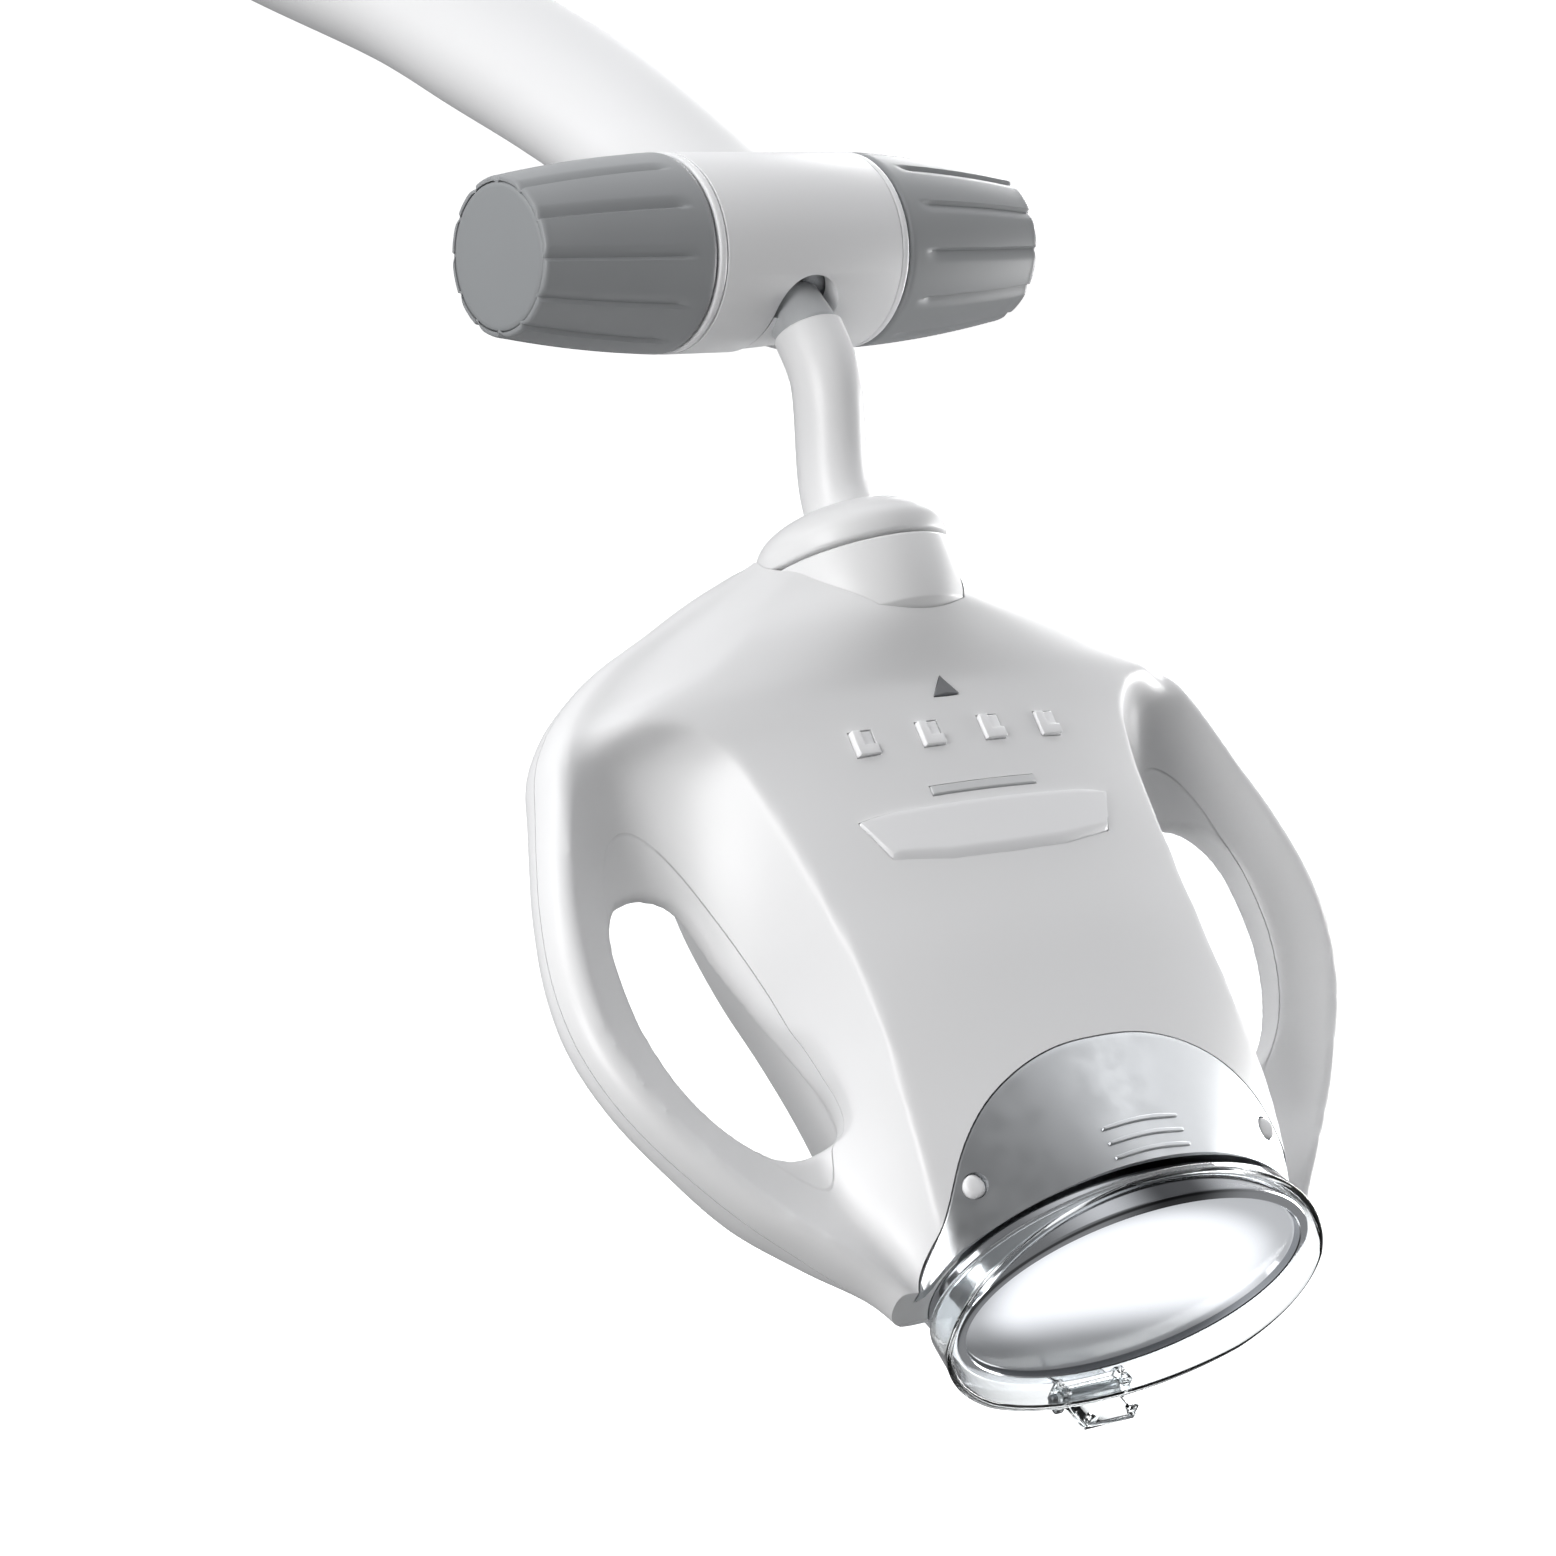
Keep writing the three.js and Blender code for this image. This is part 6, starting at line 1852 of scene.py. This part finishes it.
@dataclass
class Port:
    """The mouth of the light: the chrome bezel and the lit window in it."""

    dresser: Dresser
    sink: float = 1.5
    seat: float = 1.2
    thick: float = 2.5
    edge: float = 1.0
    edge_steps: int = 4
    window: tuple[Point, ...] = ((0.0, -12.0), (0.05, -1.2), (0.25, -0.4), (0.7, 0.0))

    def build(self) -> None:
        """Builds and dresses the port."""
        edge, out, steps = self.edge, -self.sink, self.edge_steps
        arc = [
            (out + edge * (1 - math.sin(turn)), BEZEL_WALL - edge * (1 - math.cos(turn)))
            for turn in (math.pi / 2 * (steps - step) / steps for step in range(steps + 1))
        ]
        profile = [
            (BEZEL_DEEP, -self.seat), (self.thick + FIT, -self.seat), (self.thick + FIT, FIT),
            (out + FIT, FIT), (out, 2 * FIT), *arc, (BEZEL_DEEP, BEZEL_WALL), (BEZEL_DEEP, -self.seat),
        ]
        piece = smooth(oval("bezel_ring", profile), EVEN)
        # The bezel's chrome carries painted shade at the middle of its front, under the visor's lip
        named = vars(BRIGHT_CHROME) | {"name": "heated_chrome"}
        chrome = HeatedMetal(**named, frame=IN_PORT, half=LENS_HALF_WIDE)
        self.dresser.settle(piece, IN_PORT, chrome, "lamp_head", "silver", ("bezel",))
        window = oval("lens_window", (*self.window, (self.thick, 0.0)))
        lit = LitWindow("lit_acrylic", "85888c", "8f9296", IN_PORT, LENS_HALF_WIDE, LENS_HALF_HIGH)
        self.dresser.settle(smooth(window, SOFT), IN_PORT, lit, "lamp_head", "lens_glow", ("lens",))


@dataclass
class Adapter:
    """The clear ring round the port, and the clip that turns on a pin behind it."""

    dresser: Dresser
    grow: float = 7.5
    grow_high: float = 6.0
    flare: float = 3.0
    flare_bend: float = 1.3
    wall: float = 2.0
    mouth_edge: float = 0.6
    mouth_steps: int = 12
    out: float = 8.0
    back: float = 7.0
    slant: float = 9.0
    slant_top: float = 14.5
    pin_out: float = -1.5
    pin_stand: float = 3.2
    pin_radius: float = 1.2
    pin_proud: float = 5.0
    pin_tip: Point = (0.35, 0.7)
    clip_half: float = 9.0
    barrel: float = 2.4
    lug_wide: float = 3.0
    lug_long: float = 5.0
    lug_sunk: float = 0.6
    lug_edge: float = 0.5
    tongue_start: float = 1.4
    tongue_long: float = 9.0
    tongue_thick: float = 1.8
    tongue_shift: float = 0.4
    tongue_edge: float = 0.4
    prong_wide: float = 3.2
    prong_deep: float = 4.6
    prong_thick: float = 2.0
    prong_inset: float = 2.0
    prong_shift: float = 1.2

    def build(self) -> None:
        """Builds and dresses the adapter."""
        self.ring()
        self.clip()
        half, (edge, share) = self.clip_half + self.pin_proud, self.pin_tip
        pin = turned("clip_pin_rod", (
            (-half, self.pin_radius * share), (-half + edge, self.pin_radius),
            (half - edge, self.pin_radius), (half, self.pin_radius * share),
        ), SMALL)
        self.dresser.settle(
            smooth(moved(pin, ALONG_X), SOFT), IN_PORT @ self.at_pin(), TURNED_STEEL, "lamp_head", "steel",
            ("clip_pin",),
        )

    def at_pin(self) -> Matrix:
        """Returns the frame of the clip's pin in the port's frame."""
        return Matrix.Translation((0.0, LENS_HALF_HIGH + self.grow_high + self.pin_stand, self.pin_out))

    def pin_hole(self) -> Piece:
        """Returns the tool that bores the pin's hole, in the port's frame."""
        far, radius = 4 * self.clip_half, self.pin_radius + FIT
        return moved(rod("pin_hole", -far, far, radius, SMALL), self.at_pin() @ ALONG_X)

    def walls(self, z: float) -> tuple[float, float, float, float]:
        """Returns the outer and inner half sizes of the ring at a place along the port."""
        rim = BEZEL_WALL + FIT
        if z <= 0:
            share = -z / self.out
            wide = blended(self.grow, self.grow + self.flare, share**self.flare_bend)
            return (
                LENS_HALF_WIDE + wide, LENS_HALF_HIGH + self.grow_high,
                LENS_HALF_WIDE + wide - self.wall, LENS_HALF_HIGH + self.grow_high - self.wall,
            )
        share = z / self.back
        inner = z / (self.back + OVERRUN)
        return (
            LENS_HALF_WIDE + blended(self.grow, rim + self.wall, share),
            LENS_HALF_HIGH + blended(self.grow_high, rim + self.wall, share),
            LENS_HALF_WIDE + blended(self.grow - self.wall, rim, inner),
            LENS_HALF_HIGH + blended(self.grow_high - self.wall, rim, inner),
        )

    def ring(self) -> None:
        """Builds the clear ring, cut on a slant at its mouth, with two lugs for the clip."""
        steps, edge = self.mouth_steps, self.mouth_edge

        def place(across: float, along: float) -> Vector:
            angle = 2 * math.pi * across
            rows = 4 * steps
            step = int(round(along * rows)) % rows
            face, t = divmod(step, steps)
            t /= steps
            y = (LENS_HALF_HIGH + self.grow_high) * math.sin(angle)
            slant = self.slant if y > 0 else self.slant_top
            low = max(-self.out, -self.out / 2 - y * math.tan(math.radians(slant)))
            turn = math.pi * t
            if face == 0:
                z, way = blended(self.back - edge, low + edge, t), 0.0
            elif face == 1:
                z, way = low + edge - edge * math.sin(turn), 0.5 - 0.5 * math.cos(turn)
            elif face == 2:
                z, way = blended(low + edge, self.back - edge, t), 1.0
            else:
                z, way = self.back - edge + edge * math.sin(turn), 0.5 + 0.5 * math.cos(turn)
            wide, high, inner_wide, inner_high = self.walls(z)
            return Vector((
                blended(wide, inner_wide, way) * math.cos(angle),
                blended(high, inner_high, way) * math.sin(angle), z,
            ))

        piece = wrapped("adapter_ring_shell", columns=200, rows=4 * steps, place=place)
        base = LENS_HALF_HIGH + self.grow_high - self.lug_sunk
        end = LENS_HALF_HIGH + self.grow_high + self.pin_stand + self.barrel
        for side in Side:
            middle = side.value * (self.clip_half + FIT + self.lug_wide / 2)
            lug = block(
                "lug", (middle, (base + end) / 2, self.pin_out), (self.lug_wide, end - base, self.lug_long)
            )
            added(piece, rounded(lug, self.lug_edge, 2))
        cut(piece, self.pin_hole())
        self.dresser.settle(
            smooth(piece), IN_PORT, CLEAR_POLYCARBONATE, "lamp_head", "clear", ("adapter_ring",)
        )

    def clip(self) -> None:
        """Builds the clip: a barrel on the pin, a tongue and two hooked prongs."""
        piece = moved(rod("clip_body", -self.clip_half, self.clip_half, self.barrel), ALONG_X)
        reach = self.tongue_start + self.tongue_long
        tongue = block(
            "tongue", (0.0, self.tongue_shift, -(self.tongue_start + reach) / 2),
            (2 * self.clip_half, self.tongue_thick, self.tongue_long),
        )
        added(piece, rounded(tongue, self.tongue_edge, 2))
        for side in Side:
            middle = side.value * (self.clip_half - self.prong_inset)
            prong = block(
                "prong", (middle, -self.prong_shift, self.prong_thick / 2 - reach),
                (self.prong_wide, self.prong_deep, self.prong_thick),
            )
            added(piece, rounded(prong, self.lug_edge, 2))
        moved(piece, self.at_pin())
        smooth(cut(piece, self.pin_hole()))
        self.dresser.settle(piece, IN_PORT, CLEAR_POLYCARBONATE, "clip", "clear", ("adapter_clip",))


# Studio


@dataclass
class Studio:
    """Camera, floor and soft light.

    The eye is given in the joint's frame, and the three directions are the camera's own axes.
    """

    eye: Point3 = (-770.1, -941.3, 28.2)
    right: Point3 = (0.7705, -0.6374, 0.0)
    up: Point3 = (0.0898, 0.1086, 0.99)
    back: Point3 = (-0.6311, -0.7628, 0.1409)
    nearest: float = 0.01
    focal: float = 4430.3
    sensor: float = 36.0
    floor_level: float = -1.1
    floor_side: float = 40.0
    wall_distance: float = 18.0
    floor_glow: float = 1.0
    dome_tint: str = "fcfdff"
    dome_ramps: tuple[tuple[Point3, Point, Point], ...] = (
        ((0.637, 0.771, 0.0), (-0.2, 0.3), (0.2, 1.0)),
        ((0.0, 0.0, 1.0), (0.1, 0.7), (0.4, 1.38)),
    )
    lamps: tuple[tuple[str, Point3, Point3, float, float], ...] = (
        ("right_light", (1588.0, -199.0, -289.0), (0.0, -60.0, -150.0), 0.85, 20.0),
        ("right_back_light", (1302.0, 692.0, 397.0), (0.0, -60.0, -150.0), 0.85, 15.0),
        ("left_light", (-1481.0, -599.0, 128.0), (0.0, -60.0, -150.0), 0.85, 15.0),
        ("left_top_light", (-1207.0, 153.0, 878.0), (0.0, -60.0, -150.0), 0.85, 7.0),
        ("visor_light", (1008.0, -876.0, 794.0), (0.0, -60.0, -250.0), 0.3, 0.3),
    )

    def build(self) -> None:
        """Sets up the studio."""
        self.camera()
        self.floor()
        self.world()
        self.lights()

    def camera(self) -> None:
        """Adds the camera at the photograph's viewing angle."""
        data = bpy.data.cameras.new("camera")
        data.sensor_width = self.sensor
        data.lens = self.sensor * self.focal / IMAGE_SIDE
        data.clip_start = self.nearest
        camera = bpy.data.objects.new("camera", data)
        turn = Matrix((self.right, self.up, self.back)).transposed().to_4x4()
        camera.matrix_world = Matrix.Translation(IN_JOINT @ Vector(self.eye)) @ turn
        bpy.context.scene.collection.objects.link(camera)
        bpy.context.scene.camera = camera

    def floor(self) -> None:
        """Adds the pale floor under the lamp and the wall far behind it."""
        paper = STUDIO_PAPER.make()
        shader = next(node for node in paper.node_tree.nodes if node.type == "BSDF_PRINCIPLED")
        shader.inputs["Emission Color"].default_value = linear("ffffff")
        shader.inputs["Emission Strength"].default_value = self.floor_glow
        ahead = -Vector(self.back)
        ahead.z = 0.0
        wall = Vector((0.0, 0.0, self.floor_level)) + ahead.normalized() * self.wall_distance
        for name, centre, turn in (
            ("studio_floor", Vector((0.0, 0.0, self.floor_level)), Quaternion()),
            ("studio_wall", wall, (-ahead).to_track_quat("Z", "Y")),
        ):
            deselect()
            bpy.ops.mesh.primitive_plane_add(size=self.floor_side, location=centre, rotation=turn.to_euler())
            sheet = bpy.context.object
            sheet.name = name
            sheet.data.materials.append(paper)
            sheet.visible_diffuse = sheet.visible_glossy = False

    def world(self) -> None:
        """Lights the studio with a pale dome, brightest high behind the lamp, dim before it and below.

        Each ramp turns the share of a direction along its way into a level, and the levels multiply.
        """
        world = bpy.data.worlds.new("studio_dome")
        world.use_nodes = True
        tree = world.node_tree
        tree.nodes.clear()
        place = add_node(tree, "ShaderNodeTexCoord")
        levels = []
        for way, ends, ramp_levels in self.dome_ramps:
            levels.append(ramped(tree, measured(tree, place.outputs["Generated"], way), ends, ramp_levels))
        level = combined(tree, "MULTIPLY", *levels)
        shade = add_node(tree, "ShaderNodeBackground", {"Color": linear(self.dome_tint)}, {"Strength": level})
        add_node(tree, "ShaderNodeOutputWorld", None, {"Surface": shade.outputs[0]})
        bpy.context.scene.world = world

    def lights(self) -> None:
        """Adds the soft lights."""
        for name, place, aim, size, power in self.lamps:
            data = bpy.data.lights.new(name, "AREA")
            data.shape, data.size, data.energy = "DISK", size, power
            light = bpy.data.objects.new(name, data)
            start, way = IN_JOINT @ Vector(place), Vector(aim) - Vector(place)
            light.matrix_world = Matrix.Translation(start) @ way.to_track_quat("-Z", "Y").to_matrix().to_4x4()
            light.visible_camera = False
            bpy.context.scene.collection.objects.link(light)


def main() -> None:
    """Builds the dressed lamp round the packed model."""
    logging.basicConfig(level=logging.INFO, format="%(message)s")
    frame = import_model()
    dresser = Dresser(frame)
    parts = [kind(dresser) for kind in (ClampJoint, Arm, Stem, Head, Port, Adapter)]
    for part in (*parts, Studio()):
        part.build()
        LOG.info("built: %s", type(part).__name__)
    bpy.context.scene.view_settings.view_transform = "Standard"


if __name__ == "__main__":
    main()
